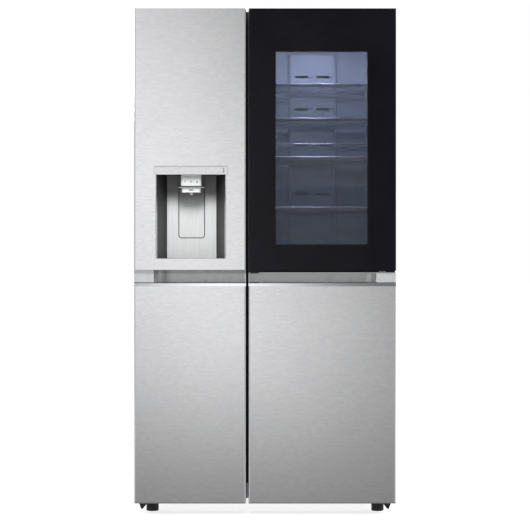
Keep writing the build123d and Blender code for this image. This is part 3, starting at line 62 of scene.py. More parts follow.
class Wire:  # a socket of a node tree, with arithmetic that adds the nodes
    def __init__(self, tree, socket=None):
        self.tree = tree
        self.socket = socket

    def node(self, kind, settings=None, inputs=None, output=0):
        made = self.tree.nodes.new("ShaderNode" + kind)
        for key, value in (settings or {}).items():
            setattr(made, key, value)
        for key, value in (inputs or {}).items():
            if isinstance(value, Wire):
                self.tree.links.new(value.socket, made.inputs[key])
            else:
                made.inputs[key].default_value = value
        return Wire(self.tree, made.outputs[output] if len(made.outputs) else None)

    def isVector(self):
        return self.socket.type == "VECTOR"

    def combine(self, operation, first, second):
        pair = (first, second)
        if any(isinstance(p, tuple) or (isinstance(p, Wire) and p.isVector()) for p in pair):
            pair = [(p, p, p) if isinstance(p, (int, float)) else p for p in pair]
            return self.node("VectorMath", {"operation": operation}, {0: pair[0], 1: pair[1]})
        return self.node("Math", {"operation": operation}, {0: first, 1: second})

    def __add__(self, other):
        return self.combine("ADD", self, other)

    def __radd__(self, other):
        return self.combine("ADD", other, self)

    def __sub__(self, other):
        return self.combine("SUBTRACT", self, other)

    def __rsub__(self, other):
        return self.combine("SUBTRACT", other, self)

    def __mul__(self, other):
        return self.combine("MULTIPLY", self, other)

    def __rmul__(self, other):
        return self.combine("MULTIPLY", other, self)

    def __abs__(self):
        return self.node("Math", {"operation": "ABSOLUTE"}, {0: self})

    def between(self, low, high, start=0.0, end=1.0):  # smooth step, then stretched
        inputs = {"Value": self, "From Min": low, "From Max": high, "To Min": start, "To Max": end}
        return self.node("MapRange", {"interpolation_type": "SMOOTHSTEP"}, inputs)

    def mixed(self, first, second):  # self is the factor between two colours
        inputs = {0: self, 6: solid(first), 7: solid(second)}
        return self.node("Mix", {"data_type": "RGBA"}, inputs, output=2)

    def axis(self, letter):
        return self.node("SeparateXYZ", {}, {"Vector": self}, output=letter)


def solid(colour):  # a colour with its alpha, or a wire as it is
    return colour if isinstance(colour, Wire) else (*colour[:3], 1.0)


def grey(level):
    return (level, level, level)


noiseSpan = (0.3, 0.7)  # the middle of a noise's range, which is stretched to the whole


def noise(place, stretch, detail=3.0, rough=0.55):
    inputs = {"Vector": place * stretch, "Scale": 1.0, "Detail": detail, "Roughness": rough}
    return place.node("TexNoise", {}, inputs)


def bump(height, strength, distance):
    inputs = {"Height": height, "Strength": strength, "Distance": distance}
    return height.node("Bump", {}, inputs)


def newMaterial(name):
    made = bpy.data.materials.new(name)
    made.use_nodes = True
    made.node_tree.nodes.clear()
    base = Wire(made.node_tree)
    return made, base, base.node("TexCoord", output="Object")


def principled(base, inputs):
    shader = base.node("BsdfPrincipled", {}, inputs)
    base.node("OutputMaterial", {}, {"Surface": shader})


def shadedOrInked(colour, place, look):  # a darker colour over the first, by height or by its own mask: mostly painted shade, also small marks and lines
    if "shadeHeights" in look:
        return place.axis("Z").between(*look["shadeHeights"]).mixed(colour, look["shadeOrInkColour"])
    if "shadeOrInkMask" in look:
        return look["shadeOrInkMask"](place).mixed(colour, look["shadeOrInkColour"])
    return colour


def inBlock(place, middle, half, fade):  # 1 inside an upright block given in X and Z
    inX = abs(place.axis("X") - middle[0]).between(half[0] - fade, half[0], 1.0, 0.0)
    inZ = abs(place.axis("Z") - middle[1]).between(half[1] - fade, half[1], 1.0, 0.0)
    return inX * inZ


# Heights that the shades start from: lower edge of the doors, lower edge of the dispenser's
# head, upper edge of the grips
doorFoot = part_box("freezer_door_panels")[0].z
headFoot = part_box("dispenser_nozzle")[0].z
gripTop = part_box("fridge_handle")[1].z


# Metals: a grain stretched along the way the surface was rolled or brushed

grainLook = {  # shares of the three noises, and how sharply they part dark from light
    "strokes": 0.25, "patches": 0.55, "clouds": 0.20, "contrast": (0.36, 0.64),
}


def brushed(name, look):  # lean tips the mirrored image up, as on a face that leans back
    made, base, place = newMaterial(name)
    strokes = noise(place, look["stroke"], detail=5.0, rough=0.7)
    patches = noise(place, look["patch"], detail=4.0, rough=0.65)
    clouds = noise(place, look["cloud"], detail=2.0)
    grain = (strokes * grainLook["strokes"] + patches * grainLook["patches"]
             + clouds * grainLook["clouds"])
    colour = grain.between(*grainLook["contrast"]).mixed(look["dark"], look["light"])
    relief = strokes * look["depth"] - place.axis("Z") * look.get("lean", 0.0)
    principled(base, {
        "Base Color": shadedOrInked(colour, place, look),
        "Metallic": look["metallic"],
        "Roughness": strokes.between(*noiseSpan, *look["roughness"]),
        "Normal": bump(relief, 1.0, 1.0),
    })
    return made


steelLook = {  # the doors' sheet, brushed from side to side, with painted shade along its lower edge, where it turns in
    "dark": (0.812, 0.814, 0.829), "light": (0.887, 0.889, 0.901), "metallic": 1.0,
    "stroke": (40.0, 40.0, 1400.0), "patch": (64.0, 64.0, 190.0), "cloud": 3.2,
    "roughness": (0.14, 0.18), "depth": 0.000003,
    "shadeHeights": (doorFoot + 0.0025, doorFoot + 0.0040, 0.7, 0.0), "shadeOrInkColour": grey(0.30),
}
trimLook = {  # extrusion across each door under the grip
    "dark": (0.715, 0.735, 0.744), "light": (0.758, 0.772, 0.776), "metallic": 1.0,
    "stroke": (20.0, 1400.0, 1400.0), "patch": (6.0, 300.0, 300.0), "cloud": 5.0,
    "roughness": (0.08, 0.12), "depth": 0.000005, "lean": 0.176,
}
plateLook = {  # back of the dispenser and its paddle, brushed up and down, with a painted shadow under the head, darker towards the top
    "dark": (0.67, 0.675, 0.68), "light": (0.76, 0.765, 0.77), "metallic": 0.06,
    "stroke": (1400.0, 1400.0, 30.0), "patch": (220.0, 220.0, 8.0), "cloud": 9.0,
    "roughness": (0.36, 0.46), "depth": 0.000006,
    "shadeHeights": (headFoot - 0.046, headFoot + 0.020), "shadeOrInkColour": (0.17, 0.17, 0.175),
}
# the paddle's painted shadow under the head reaches lower
paddleLook = {**plateLook, "shadeHeights": (headFoot - 0.066, headFoot + 0.009)}


def bezelShadeAndMarks(place):  # painted shade as a line round the rounded edge, and two small marks at the right
    look = bezelLook
    low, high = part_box("dispenser_bezel")
    middle = ((low.x + high.x) / 2, (low.z + high.z) / 2)
    half = ((high.x - low.x) / 2, (high.z - low.z) / 2)
    inner = [reach - look["edge"] for reach in half]
    edge = 1.0 - inBlock(place, (middle[0], middle[1] - look["edge"]), inner, look["edgeFade"])
    spots = edge * look["edgeShare"]
    for side in (-1, 1):
        mark = (high.x - look["markInset"], middle[1] + side * look["markRise"])
        spots = inBlock(place, mark, look["mark"], look["markFade"]) * look["markShare"] + spots
    return spots


bezelLook = {  # satin strip over the dispenser, with a painted shade line round its edge
    "dark": (0.775, 0.775, 0.79), "light": (0.795, 0.795, 0.81), "metallic": 0.5,
    "stroke": (40.0, 1400.0, 1400.0), "patch": (9.0, 60.0, 60.0), "cloud": 9.0,
    "roughness": (0.27, 0.29), "depth": 0.0000003,
    "shadeOrInkMask": bezelShadeAndMarks, "shadeOrInkColour": (0.15, 0.15, 0.16),
    "edge": 0.0014, "edgeFade": 0.0004, "edgeShare": 0.5,
    "mark": (0.0026, 0.0036), "markInset": 0.0147, "markRise": 0.0045, "markFade": 0.0006,
    "markShare": 0.9,
}
coilLook = {  # rolled fins and tubes of the two coils
    "dark": (0.52, 0.53, 0.55), "light": (0.78, 0.79, 0.80), "metallic": 1.0,
    "stroke": (14.0, 14.0, 300.0), "patch": (40.0, 40.0, 90.0), "cloud": 14.0,
    "roughness": (0.30, 0.48), "depth": 0.00003,
}
chromeLook = {  # wine rack and screws
    "dark": (0.70, 0.71, 0.73), "light": (0.88, 0.89, 0.91), "metallic": 1.0,
    "stroke": (90.0, 90.0, 90.0), "patch": (30.0, 30.0, 30.0), "cloud": 8.0,
    "roughness": (0.06, 0.16), "depth": 0.000002,
}

zincLook = {  # galvanised sheet with its spangle
    "dark": (0.555, 0.565, 0.575), "light": (0.610, 0.620, 0.630), "metallic": 0.9,
    "spangle": 150.0, "stain": 6.0, "roughness": (0.36, 0.46), "bump": 0.05, "depth": 0.0004,
    "flakeShare": 0.6, "stainShare": 0.4, "contrast": (0.15, 0.85),
}


def zincSheet():
    look = zincLook
    made, base, place = newMaterial("zincSheet")
    inputs = {"Vector": place, "Scale": look["spangle"]}
    flakes = base.node("TexVoronoi", {}, inputs, output="Color")
    tone = base.node("SeparateColor", {}, {"Color": flakes}, output="Red")
    stains = noise(place, look["stain"], detail=5.0)
    both = tone * look["flakeShare"] + stains * look["stainShare"]
    principled(base, {
        "Base Color": both.between(*look["contrast"]).mixed(look["dark"], look["light"]),
        "Metallic": look["metallic"],
        "Roughness": tone.between(0.0, 1.0, *look["roughness"]),
        "Normal": bump(stains, look["bump"], look["depth"]),
    })
    return made


# Paints and plastics: a colour that drifts a little, with its own grain and sheen

mouldedShares = {"drift": 0.7, "grain": 0.3}


def moulded(name, look):
    made, base, place = newMaterial(name)
    grain = noise(place, look["grain"], detail=2.0)
    drift = noise(place, look["drift"], detail=4.0)
    both = drift * mouldedShares["drift"] + grain * mouldedShares["grain"]
    colour = both.between(*noiseSpan).mixed(look["dark"], look["light"])
    principled(base, {
        "Base Color": shadedOrInked(colour, place, look),
        "Roughness": both.between(*noiseSpan, *look["roughness"]),
        "Metallic": look.get("metallic", 0.0),
        "Specular IOR Level": look.get("specular", 0.5),
        "Normal": bump(grain, look["bump"], look["depth"]),
    })
    return made


casePaintLook = {  # silver grey paint of the sides and top
    "dark": (0.285, 0.290, 0.300), "light": (0.335, 0.341, 0.352), "metallic": 0.35,
    "grain": 900.0, "drift": 2.5, "roughness": (0.34, 0.44), "bump": 0.12, "depth": 0.0002,
}
blackPaintLook = {
    "dark": (0.018, 0.018, 0.019), "light": (0.036, 0.036, 0.038),
    "grain": 1400.0, "drift": 20.0, "roughness": (0.38, 0.55), "bump": 0.20, "depth": 0.0002,
}
# strip between the compartments, made near black so the gap between the doors reads dark: partly
# its own colour, partly painted shade
mullionLook = {
    "dark": (0.022, 0.022, 0.024), "light": (0.034, 0.034, 0.036),
    "grain": 1400.0, "drift": 12.0, "roughness": (0.45, 0.58), "bump": 0.12, "depth": 0.0002,
}
foamLook = {
    "dark": (0.62, 0.52, 0.30), "light": (0.86, 0.78, 0.52),
    "grain": 420.0, "drift": 12.0, "roughness": (0.80, 0.95), "bump": 0.60, "depth": 0.0010,
}
linerLook = {
    "dark": (0.78, 0.79, 0.80), "light": (0.85, 0.855, 0.86),
    "grain": 260.0, "drift": 3.0, "roughness": (0.24, 0.36), "bump": 0.05, "depth": 0.0003,
}
# dark grey caps of the doors, made darker so the gap between the doors reads dark: partly their
# own colour, partly painted shade
doorCapLook = {
    "dark": (0.105, 0.105, 0.108), "light": (0.145, 0.145, 0.149),
    "grain": 1600.0, "drift": 9.0, "roughness": (0.45, 0.60), "bump": 0.18, "depth": 0.0002,
}


def gripShade(place):  # painted shade: darker under the upper edge and where the grips run out, left most
    look = silverPlasticLook
    across = place.axis("X")
    edge = place.axis("Z").between(gripTop - look["edge"], gripTop, 0.0, look["edgeShare"])
    end = abs(abs(across) - (cadBox[1].x - look["runOut"])).between(0.0, look["reach"], 1.0, 0.0)
    share = across.between(*look["middle"], *look["endShares"])
    shade = 1.0 - (1.0 - edge) * (1.0 - end * share)
    return shade * place.axis("Y").between(*look["back"], 1.0, 0.0)


silverPlasticLook = {  # painted lining of the grips, with painted shade from gripShade, and the shelves' trims, which stay plain
    "dark": (0.745, 0.752, 0.759), "light": (0.785, 0.792, 0.799), "metallic": 0.62,
    "grain": 2200.0, "drift": 5.0, "roughness": (0.27, 0.29), "bump": 0.015, "depth": 0.0001,
    "shadeOrInkMask": gripShade, "shadeOrInkColour": grey(0.10), "edge": 0.009, "edgeShare": 0.38,
    "runOut": 0.1035, "reach": 0.033, "middle": (-0.1, 0.1), "endShares": (0.40, 0.12),
    "back": (-0.310, -0.300),  # the shade stops between the grips and the shelves
}
sealLook = {
    "dark": (0.20, 0.20, 0.205), "light": (0.30, 0.30, 0.31),
    "grain": 700.0, "drift": 14.0, "roughness": (0.60, 0.78), "bump": 0.15, "depth": 0.0003,
}
frameBlackLook = {
    "dark": (0.007, 0.007, 0.009), "light": (0.014, 0.014, 0.017),
    "grain": 1500.0, "drift": 10.0, "roughness": (0.18, 0.28), "bump": 0.05, "depth": 0.0001,
}


def recessShade(place):  # painted shade: blacker beside the plate and towards the top
    look = recessLook
    low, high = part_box("dispenser_nozzle")
    beside = abs(place.axis("X") - (low.x + high.x) / 2).between(*look["beside"], 1.0, 0.0)
    up = place.axis("Z").between(low.z - look["below"], low.z + look["above"])
    return 1.0 - (1.0 - beside * look["besideShare"]) * (1.0 - up * look["upShare"])


recessLook = {  # dark walls of the dispenser, with painted shade from recessShade
    "dark": (0.071, 0.071, 0.074), "light": (0.092, 0.092, 0.096), "specular": 0.3,
    "grain": 1800.0, "drift": 14.0, "roughness": (0.40, 0.50), "bump": 0.10, "depth": 0.0001,
    "shadeOrInkMask": recessShade, "shadeOrInkColour": (0.008, 0.008, 0.009),
    "beside": (0.088, 0.117), "besideShare": 0.75,
    "below": 0.186, "above": 0.074, "upShare": 0.52,
}


def flangeLine(place):  # dark line round the flange of the head
    look = nozzleLook
    away = abs(place.axis("Z") - (headFoot + look["line"]))
    return away.between(*look["lineHalf"], 1.0, 0.0)


nozzleLook = {  # pale head of the dispenser
    "dark": (0.75, 0.755, 0.76), "light": (0.81, 0.815, 0.82),
    "grain": 1500.0, "drift": 30.0, "roughness": (0.22, 0.30), "bump": 0.02, "depth": 0.0001,
    "shadeOrInkMask": flangeLine, "shadeOrInkColour": (0.16, 0.16, 0.165),
    "line": 0.0278, "lineHalf": (0.0016, 0.0030),
}
blackPlasticLook = {
    "dark": (0.012, 0.012, 0.013), "light": (0.026, 0.026, 0.028),
    "grain": 1500.0, "drift": 24.0, "roughness": (0.42, 0.60), "bump": 0.25, "depth": 0.0002,
}
whitePlasticLook = {
    "dark": (0.70, 0.70, 0.70), "light": (0.80, 0.80, 0.80),
    "grain": 900.0, "drift": 10.0, "roughness": (0.36, 0.50), "bump": 0.08, "depth": 0.0002,
}
printLook = {  # grey ink of the small marks
    "dark": (0.15, 0.15, 0.16), "light": (0.21, 0.21, 0.22),
    "grain": 2600.0, "drift": 60.0, "roughness": (0.50, 0.62), "bump": 0.05, "depth": 0.0001,
}


# Clear pieces and glass

def clearPiece(name, look):
    made, base, place = newMaterial(name)
    facing = base.node("LayerWeight", {}, {"Blend": look["edge"]}, output="Facing")
    upward = base.node("NewGeometry", output="True Normal").axis("Z").between(*look["level"])
    haze = noise(place, look["haze"], detail=3.0)
    body = haze.between(*noiseSpan, *look["body"])
    principled(base, {
        "Base Color": haze.between(*noiseSpan).mixed(look["dark"], look["light"]),
        "Roughness": haze.between(*noiseSpan, *look["roughness"]),
        # faces that point up are made more opaque, so their pale colour shows as a painted
        # highlight
        "Alpha": facing * look["rim"] + upward * look["lip"] + body,
    })
    return made


clearGlassLook = {
    "dark": (0.52, 0.66, 0.64), "light": (0.66, 0.78, 0.76), "haze": 12.0, "edge": 0.55,
    "rim": 0.45, "lip": 0.0, "level": (0.7, 0.9), "body": (0.08, 0.14), "roughness": (0.04, 0.10),
}
clearPlasticLook = {  # its rims that face up are made more opaque, a painted highlight
    "dark": (0.66, 0.72, 0.78), "light": (0.80, 0.85, 0.90), "haze": 26.0, "edge": 0.5,
    "rim": 0.20, "lip": 0.20, "level": (0.7, 0.9), "body": (0.03, 0.055),
    "roughness": (0.10, 0.22),
}

glassLook = {
    "black": (0.0042, 0.0043, 0.0058), "sheen": (0.0062, 0.0063, 0.0088),
    "windowTint": (0.021, 0.023, 0.034), "windowCover": 0.43, "edge": 0.004, "smear": 5.0,
    "smearSpan": (0.35, 0.7), "roughness": (0.03, 0.07), "specular": 0.10,
    "sides": (0.0905, 0.0965), "sill": 0.089, "head": 0.147,  # black border round the window
}


def blackGlass():  # black printed sheet with a clear window in it
    look = glassLook
    made, base, place = newMaterial("blackGlass")
    low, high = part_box("showcase_glass")
    inside = 1.0
    edges = (("X", low.x + look["sides"][0], high.x - look["sides"][1]),
             ("Z", low.z + look["sill"], high.z - look["head"]))
    for letter, start, end in edges:
        half = (end - start) / 2
        away = abs(place.axis(letter) - (start + end) / 2)
        inside = away.between(half - look["edge"], half, 1.0, 0.0) * inside
    smear = noise(place, look["smear"], detail=5.0)
    shadeOrInkColour = smear.between(*noiseSpan).mixed(look["black"], look["sheen"])
    back = base.node("NewGeometry", output="Backfacing")
    principled(base, {
        "Base Color": inside.mixed(shadeOrInkColour, look["windowTint"]),
        "Roughness": smear.between(*look["smearSpan"], *look["roughness"]),
        "Specular IOR Level": look["specular"],
        "Alpha": 1.0 - inside * (1.0 - look["windowCover"] * (1.0 - back)),
    })
    return made


lensLook = {  # ribbed lens over the lamps of the two compartments
    "dark": (0.80, 0.84, 0.90), "light": (0.95, 0.97, 1.0), "ribs": 21.0,
    "roughness": 0.3, "glow": 1.6, "bump": 0.3, "depth": 0.0004,
}


def lampLens():
    look = lensLook
    made, base, place = newMaterial("lampLens")
    ribs = base.node("TexWave", {}, {"Vector": place, "Scale": look["ribs"]})
    principled(base, {
        "Base Color": ribs.mixed(look["dark"], look["light"]),
        "Roughness": look["roughness"],
        "Emission Color": ribs.mixed(look["dark"], look["light"]),
        "Emission Strength": look["glow"],
        "Normal": bump(ribs, look["bump"], look["depth"]),
    })
    return made


finishes = {
    "brushed_steel": brushed("brushedSteel", steelLook),
    "case_paint": moulded("casePaint", casePaintLook),
    "zinc_sheet": zincSheet(),
    "black_paint": moulded("blackPaint", blackPaintLook),
    "foam": moulded("foam", foamLook),
    "liner_white": moulded("linerWhite", linerLook),
    "door_cap_grey": moulded("doorCapGrey", doorCapLook),
    "silver_plastic": moulded("silverPlastic", silverPlasticLook),
    "trim_aluminium": brushed("trimAluminium", trimLook),
    "seal_rubber": moulded("sealRubber", sealLook),
    "black_glass": blackGlass(),
    "clear_glass": clearPiece("clearGlass", clearGlassLook),
    "frame_black": moulded("frameBlack", frameBlackLook),
    "recess_grey": moulded("recessGrey", recessLook),
    "plate_silver": brushed("plateSilver", plateLook),
    "nozzle_white": moulded("nozzleWhite", nozzleLook),
    "black_plastic": moulded("blackPlastic", blackPlasticLook),
    "white_plastic": moulded("whitePlastic", whitePlasticLook),
    "clear_plastic": clearPiece("clearPlastic", clearPlasticLook),
    "chrome_wire": brushed("chromeWire", chromeLook),
    "coil_aluminium": brushed("coilAluminium", coilLook),
    "lamp_lens": lampLens(),
}
ownFinishes = {  # nodes unlike their slot
    "dispenser_bezel": brushed("bezelSatin", bezelLook),
    "centre_mullion": moulded("mullionDark", mullionLook),
    "dispenser_paddle": brushed("paddleSilver", paddleLook),
    "showcase_hinges": moulded("hingeBlack", blackPaintLook),
}
for part in frame["record"]["subparts"]:
    finish = ownFinishes.get(part["node"], finishes[part["material_slot"]])
    for holder in nodes[part["node"]].material_slots:
        holder.material = finish
print("finishes on the nodes:", len(finishes) + len(ownFinishes))


# Small pieces that the solids leave out

def meshPiece(name, build, body, slotName, finish=None):
    mesh = bpy.data.meshes.new(name)
    shape = bmesh.new()
    build(shape)
    bmesh.ops.recalc_face_normals(shape, faces=shape.faces)
    shape.to_mesh(mesh)
    shape.free()
    piece = bpy.data.objects.new(name, mesh)
    scene.collection.objects.link(piece)
    mesh.materials.append(finish or finishes[slotName])
    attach(piece, body)


def skin(shape, rings):  # rings of as many points each, joined in turn and closed at both ends
    loops = [[shape.verts.new(point) for point in ring] for ring in rings]
    for near, far in zip(loops, loops[1:]):
        for k, corner in enumerate(near):
            shape.faces.new((near[k - 1], corner, far[k], far[k - 1]))
    shape.faces.new(loops[0])
    shape.faces.new(loops[-1])


def tile(shape, outline, near, far):  # flat outline in X and Z between two depths
    skin(shape, [[(x, y, z) for x, z in outline] for y in (near, far)])


screwLook = {
    "washer": 0.0060, "rim": 0.0008, "flats": 0.0035, "head": 0.0030, "chamfer": 0.0007,
    "breakFrom": 0.6, "breakTo": 0.9,  # where the washer's edge is broken, by height and radius
    "steps": 24, "edge": 0.013, "rows": 6, "coverRows": 2, "columns": 4,
}


def hexScrew(shape, x, y, z):  # hexagon head on its own washer, facing back
    look = screwLook
    turns = [math.tau * k / look["steps"] for k in range(look["steps"])]
    sixth = math.pi / 3

    def ring(height, radius, flats=0.0):
        points = []
        for turn in turns:
            reach = radius or flats / math.cos(turn % sixth - sixth / 2)
            points.append((x + reach * math.cos(turn), y + height, z + reach * math.sin(turn)))
        return points

    skin(shape, [
        ring(0.0, look["washer"]), ring(look["rim"] * look["breakFrom"], look["washer"]),
        ring(look["rim"], look["washer"] * look["breakTo"]), ring(look["rim"], 0.0, look["flats"]),
        ring(look["head"] - look["chamfer"], 0.0, look["flats"]),
        ring(look["head"], look["flats"] - look["chamfer"] / 2),
    ])


def backScrews(shape):
    look = screwLook
    coverLow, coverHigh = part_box("machine_room_cover")
    panelLow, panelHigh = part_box("back_panel")
    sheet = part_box("case_wrapper")[1].y
    for low, high, rows in ((coverLow, coverHigh, look["coverRows"]),
                            (panelLow, panelHigh, look["rows"])):
        columns = look["columns"]
        for row in range(rows):
            z = low.z + look["edge"] + (high.z - low.z - 2 * look["edge"]) * row / (rows - 1)
            for column in range(columns):
                if 0 < column < columns - 1 and 0 < row < rows - 1:
                    continue
                width = high.x - low.x - 2 * look["edge"]
                hexScrew(shape, low.x + look["edge"] + width * column / (columns - 1), sheet, z)


seamLook = {"lap": 0.004, "thickness": 0.0006, "ends": 0.009, "bevel": 0.0003}


def rearSeam(shape):  # folded strip along the top of the back, over the edge of the foam
    look = seamLook
    low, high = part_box("case_wrapper")
    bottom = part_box("back_panel")[1].z - look["lap"]
    near, far = high.y, high.y + look["thickness"]
    profile = [(near, bottom), (far, bottom + look["bevel"]),
               (far, high.z - look["bevel"]), (near, high.z)]
    skin(shape, [[(x, y, z) for y, z in profile]
                 for x in (low.x + look["ends"], high.x - look["ends"])])


glyphLook = {  # marks of the three keys, their forms in shares of the reach
    "reach": 0.0050, "lowered": 0.0035, "proud": 0.00008, "sunk": 0.0002, "steps": 28,
    "dropWidth": 0.8, "dropTaper": 1.5, "cubeRise": 0.5, "cubeSize": 0.5, "cubeTwist": 0.2,
    "chips": (  # place in X and Z, size, sides, turn
        (-0.55, 0.15, 0.42, 4, 0.3), (0.20, 0.50, 0.38, 3, 0.9),
        (0.55, -0.20, 0.44, 5, 0.1), (-0.15, -0.55, 0.40, 4, 1.1)),
}


def dropOutline(look):  # one drop of water
    outline = []
    for k in range(look["steps"]):
        turn = math.tau * k / look["steps"]
        taper = math.sin(turn / 2) ** look["dropTaper"]
        outline.append((look["dropWidth"] * look["reach"] * math.sin(turn) * taper,
                        look["reach"] * math.cos(turn)))
    return outline


def polygon(middle, reach, sides, turn):
    turns = [turn + math.tau * k / sides for k in range(sides)]
    return [(middle[0] + reach * math.cos(a), middle[1] + reach * math.sin(a)) for a in turns]


def cubeOutlines(look):  # two cubes of ice, one on the other
    for z in (-look["cubeRise"], look["cubeRise"]):
        turn = math.pi / 4 + look["cubeTwist"] * z
        yield polygon((0.0, z * look["reach"]), look["cubeSize"] * look["reach"], 4, turn)


def chipOutlines(look):  # a few broken pieces
    reach = look["reach"]
    for x, z, size, sides, turn in look["chips"]:
        yield polygon((x * reach, z * reach), size * reach, sides, turn)


def keyGlyphs():
    look = glyphLook
    marks = {
        "selector_key_1": ("cubeMark", "key_1", list(cubeOutlines(look))),
        "selector_key_2": ("chipMark", "key_2", list(chipOutlines(look))),
        "selector_key_3": ("dropMark", "key_3", [dropOutline(look)]),
    }
    for node, (name, body, outlines) in marks.items():
        low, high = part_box(node)
        midX, midZ = (low.x + high.x) / 2, (low.z + high.z) / 2 - look["lowered"]

        def build(shape):
            for outline in outlines:
                tile(shape, [(midX + x, midZ + z) for x, z in outline],
                     low.y - look["proud"], low.y + look["sunk"])

        meshPiece(name, build, body, "black_plastic", inkGrey)


eyeLook = {
    "half": (0.0095, 0.0024), "setback": 0.010, "rise": 0.0170, "proud": 0.0003, "crown": 0.86,
    "steps": 32,
}


def nozzleEye(shape):  # oval lens on the block over the spout
    look = eyeLook
    low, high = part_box("dispenser_nozzle")
    midX, midZ = (low.x + high.x) / 2, low.z + look["rise"]
    face = low.y + look["setback"]
    rings = []
    proud = look["proud"]
    for share, depth in ((1.0, face + proud), (1.0, face), (look["crown"], face - proud)):
        rings.append([(midX + x * share, depth, midZ + z * share) for x, z in [
            (look["half"][0] * math.cos(math.tau * k / look["steps"]),
             look["half"][1] * math.sin(math.tau * k / look["steps"]))
            for k in range(look["steps"])]])
    skin(shape, rings)


rimLook = {
    "wall": 0.003, "side": 0.0055, "sill": 0.0045, "sunk": 0.0001, "buried": -0.1, "steps": 12,
}


def recessRim(shape):  # rolled edge of the sheet round the dispenser's mouth, open at the top
    look = rimLook
    low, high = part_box("dispenser_housing")
    plateLow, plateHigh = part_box("dispenser_back_plate")
    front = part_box("freezer_door_panels")[0].y + look["sunk"]
    left, right = low.x + look["wall"], high.x - look["wall"]
    floor, top = low.z + look["wall"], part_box("dispenser_bezel")[0].z
    depth = look["side"] * (plateHigh.y - front) / (plateLow.x - left)  # where the wall is reached
    profile = [(look["buried"], front)]
    for k in range(look["steps"] + 1):
        turn = math.pi / 2 * k / look["steps"]
        profile.append((math.sin(turn), front + depth * (1.0 - math.cos(turn))))
    profile.append((look["buried"], front + depth))
    skin(shape, [
        [(x + look["side"] * inward * share, y, z + look["sill"] * upward * share)
         for share, y in profile]
        for x, inward, z, upward in (
            (left, 1, top, 0), (left, 1, floor, 1), (right, -1, floor, 1), (right, -1, top, 0))])


padLook = {"from": -0.031, "to": -0.055, "proud": 0.0016, "sunk": 0.0014, "edge": 0.0006}


def hingePad(shape):  # pale stop on the front of the arm under the showcase
    look = padLook
    low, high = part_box("showcase_hinges")
    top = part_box("showcase_frame")[0].z - look["edge"]
    left, right = high.x + look["to"], high.x + look["from"]
    front = low.y + look["edge"]
    rings = []
    steps = ((look["sunk"], 0.0), (-look["proud"] / 2, 0.0), (-look["proud"], look["edge"]))
    for depth, inset in steps:
        rings.append([(x, front + depth, z) for x, z in (
            (left + inset, low.z + inset), (right - inset, low.z + inset),
            (right - inset, top - inset), (left + inset, top - inset))])
    skin(shape, rings)


inkGrey = moulded("inkGrey", printLook)
meshPiece("hingePad", hingePad, "fridge_door", "white_plastic")
meshPiece("backScrews", backScrews, "cabinet", "zinc_sheet", finishes["chrome_wire"])
meshPiece("rearSeam", rearSeam, "cabinet", "case_paint")
keyGlyphs()
meshPiece("recessRim", recessRim, "freezer_door", "brushed_steel")
meshPiece("nozzleEye", nozzleEye, "freezer_door", "black_plastic", inkGrey)
print("small pieces made")


# Studio: white floor and surround, one high front lamp, two behind, and one soft panel that
# the metal mirrors

floorLook = {  # the white glow seen from the camera is weaker where the shadow falls
    "size": (120.0, 180.0), "paper": (0.58, 0.62), "grain": 3.0,
    "lift": (0.77, 0.90), "liftFrom": (1.0, 6.0),
}


def studioFloor():
    look = floorLook
    bpy.ops.mesh.primitive_plane_add(size=1.0)
    floor = bpy.context.object
    floor.name = "studioFloor"
    floor.data.transform(Matrix.Diagonal((*look["size"], 1.0, 1.0)))
    made, base, place = newMaterial("studioFloor")
    camera = base.node("LightPath", output="Is Camera Ray")
    mirrored = base.node("LightPath", output="Is Glossy Ray")
    paper = noise(place, look["grain"]).mixed(*[grey(level) for level in look["paper"]])
    matte = base.node("BsdfDiffuse", {}, {"Color": paper})
    reach = place.node("VectorMath", {"operation": "LENGTH"}, {0: place}, output="Value")
    glow = camera * reach.between(*look["liftFrom"], *look["lift"])
    lift = base.node("Emission", {}, {"Color": solid(grey(1.0)), "Strength": glow})
    plain = base.node("AddShader", {}, {0: matte, 1: lift})
    away = base.node("BsdfTransparent")
    both = base.node("MixShader", {}, {0: mirrored, 1: plain, 2: away})
    base.node("OutputMaterial", {}, {"Surface": both})
    floor.data.materials.append(made)


worldLook = {
    "fill": 0.28, "white": 1.0, "surround": 0.178, "panel": 1.2,
    "left": (-0.186, -0.01), "right": (-0.065, 0.135),  # fading edges of the panel
    "bottom": (-0.111, -0.052), "top": (-0.032, 0.208),
    "leftLean": 0.47, "topLean": 0.82,  # how far those edges slant
    "strip": 1.37, "stripLeft": (-0.09, -0.02), "stripRight": (-0.02, 0.045),  # a lamp over it
    "stripBottom": (0.24, 0.28), "stripTop": (0.40, 0.46),
    "room": (0.16, 0.66), "blotch": 4.0,  # uneven light of the room, off the panel's axis
    "roomBeside": (0.20, 0.34), "roomBelow": (-0.42, -0.22), "roomAbove": (0.52, 0.70),
}


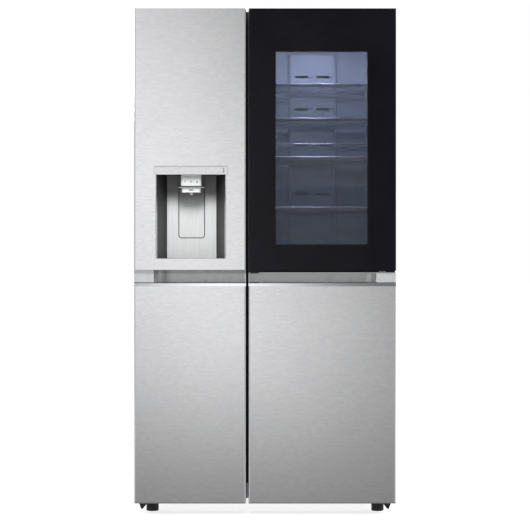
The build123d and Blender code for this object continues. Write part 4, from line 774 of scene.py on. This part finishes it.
def studioWorld():
    look = worldLook
    world = bpy.data.worlds.new("studio")
    world.use_nodes = True
    world.node_tree.nodes.clear()
    scene.world = world
    base = Wire(world.node_tree)
    camera = base.node("LightPath", output="Is Camera Ray")
    mirrored = base.node("LightPath", output="Is Glossy Ray")
    way = base.node("TexCoord", output="Generated")
    across, height = way.axis("X"), way.axis("Z")
    leftEdge = (across + height * look["leftLean"]).between(*look["left"])
    rightEdge = across.between(*look["right"], 1.0, 0.0)
    topEdge = (height + across * look["topLean"]).between(*look["top"], 1.0, 0.0)
    panel = leftEdge * rightEdge * topEdge * height.between(*look["bottom"])
    strip = (across.between(*look["stripLeft"]) * across.between(*look["stripRight"], 1.0, 0.0)
             * height.between(*look["stripBottom"]) * height.between(*look["stripTop"], 1.0, 0.0))
    blotches = noise(way, look["blotch"], detail=1.0).between(0.36, 0.64, *look["room"])
    shaded = (abs(across).between(*look["roomBeside"], 1.0, 0.0)
              * height.between(*look["roomBelow"]) * height.between(*look["roomAbove"], 1.0, 0.0))
    room = (1.0 - shaded) * blotches
    seen = panel * look["panel"] + strip * look["strip"] + room + look["surround"]
    level = mirrored * seen + (1.0 - mirrored) * look["fill"]
    level = camera * look["white"] + (1.0 - camera) * level
    shader = base.node("Background", {}, {"Color": level, "Strength": 1.0})
    base.node("OutputWorld", {}, {"Surface": shader})


lampLooks = {
    "key": {
        "place": (-0.3, -4.9, 6.3), "aim": (0.0, -0.3, 1.0), "size": (3.0, 2.6), "watts": 570.0,
        "mirrored": False,
    },
    "backLeft": {
        "place": (-4.2, 3.2, 3.0), "aim": (0.0, 0.0, 0.9), "size": (2.4, 2.4), "watts": 180.0,
    },
    "backRight": {
        "place": (4.2, 3.2, 3.0), "aim": (0.0, 0.0, 0.9), "size": (2.4, 2.4), "watts": 270.0,
    },
}


def softLamp(name, look):
    data = bpy.data.lights.new(name, "AREA")
    data.shape = "RECTANGLE"
    data.size, data.size_y = look["size"]
    data.energy = look["watts"]
    data.color = look.get("colour", grey(1.0))
    lamp = bpy.data.objects.new(name, data)
    scene.collection.objects.link(lamp)
    lamp.location = look["place"]
    lamp.visible_glossy = look.get("mirrored", True)
    way = Vector(look["aim"]) - Vector(look["place"])
    lamp.rotation_euler = way.to_track_quat("-Z", "Y").to_euler()


insideLook = {
    "watts": 1.74, "tilt": (0.05, 0.35), "colour": (0.56, 0.62, 1.0), "size": (0.14, 0.05),
    "drop": 0.004,
}


def compartmentLamp():  # light of the lens over the fridge shelves
    look = insideLook
    ductLow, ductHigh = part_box("fridge_duct_cover")
    lensLow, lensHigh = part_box("led_lamps")
    x, y = (ductLow.x + ductHigh.x) / 2, (lensLow.y + lensHigh.y) / 2
    softLamp("fridgeLamp", {
        **look, "place": (x, y, lensLow.z - look["drop"]),
        "aim": (x, y + look["tilt"][0], lensLow.z - look["tilt"][1]),
    })


cameraLook = {
    "height": 0.871, "distance": 7.0, "lens": 136.5, "sensor": 36.0, "farthest": 200.0,
}


def frontCamera():
    look = cameraLook
    data = bpy.data.cameras.new("camera")
    data.lens, data.sensor_width = look["lens"], look["sensor"]
    data.clip_end = look["farthest"]
    camera = bpy.data.objects.new("camera", data)
    scene.collection.objects.link(camera)
    camera.location = (0.0, cadBox[0].y - look["distance"], look["height"])
    camera.rotation_euler = (math.radians(90), 0.0, 0.0)
    scene.camera = camera


studioFloor()
studioWorld()
for name, look in lampLooks.items():
    softLamp(name, look)
compartmentLamp()
frontCamera()
scene.view_settings.view_transform = "Standard"
scene.cycles.transparent_max_bounces = 32  # clear shelves, bins and glass lie behind each other
print("studio set")
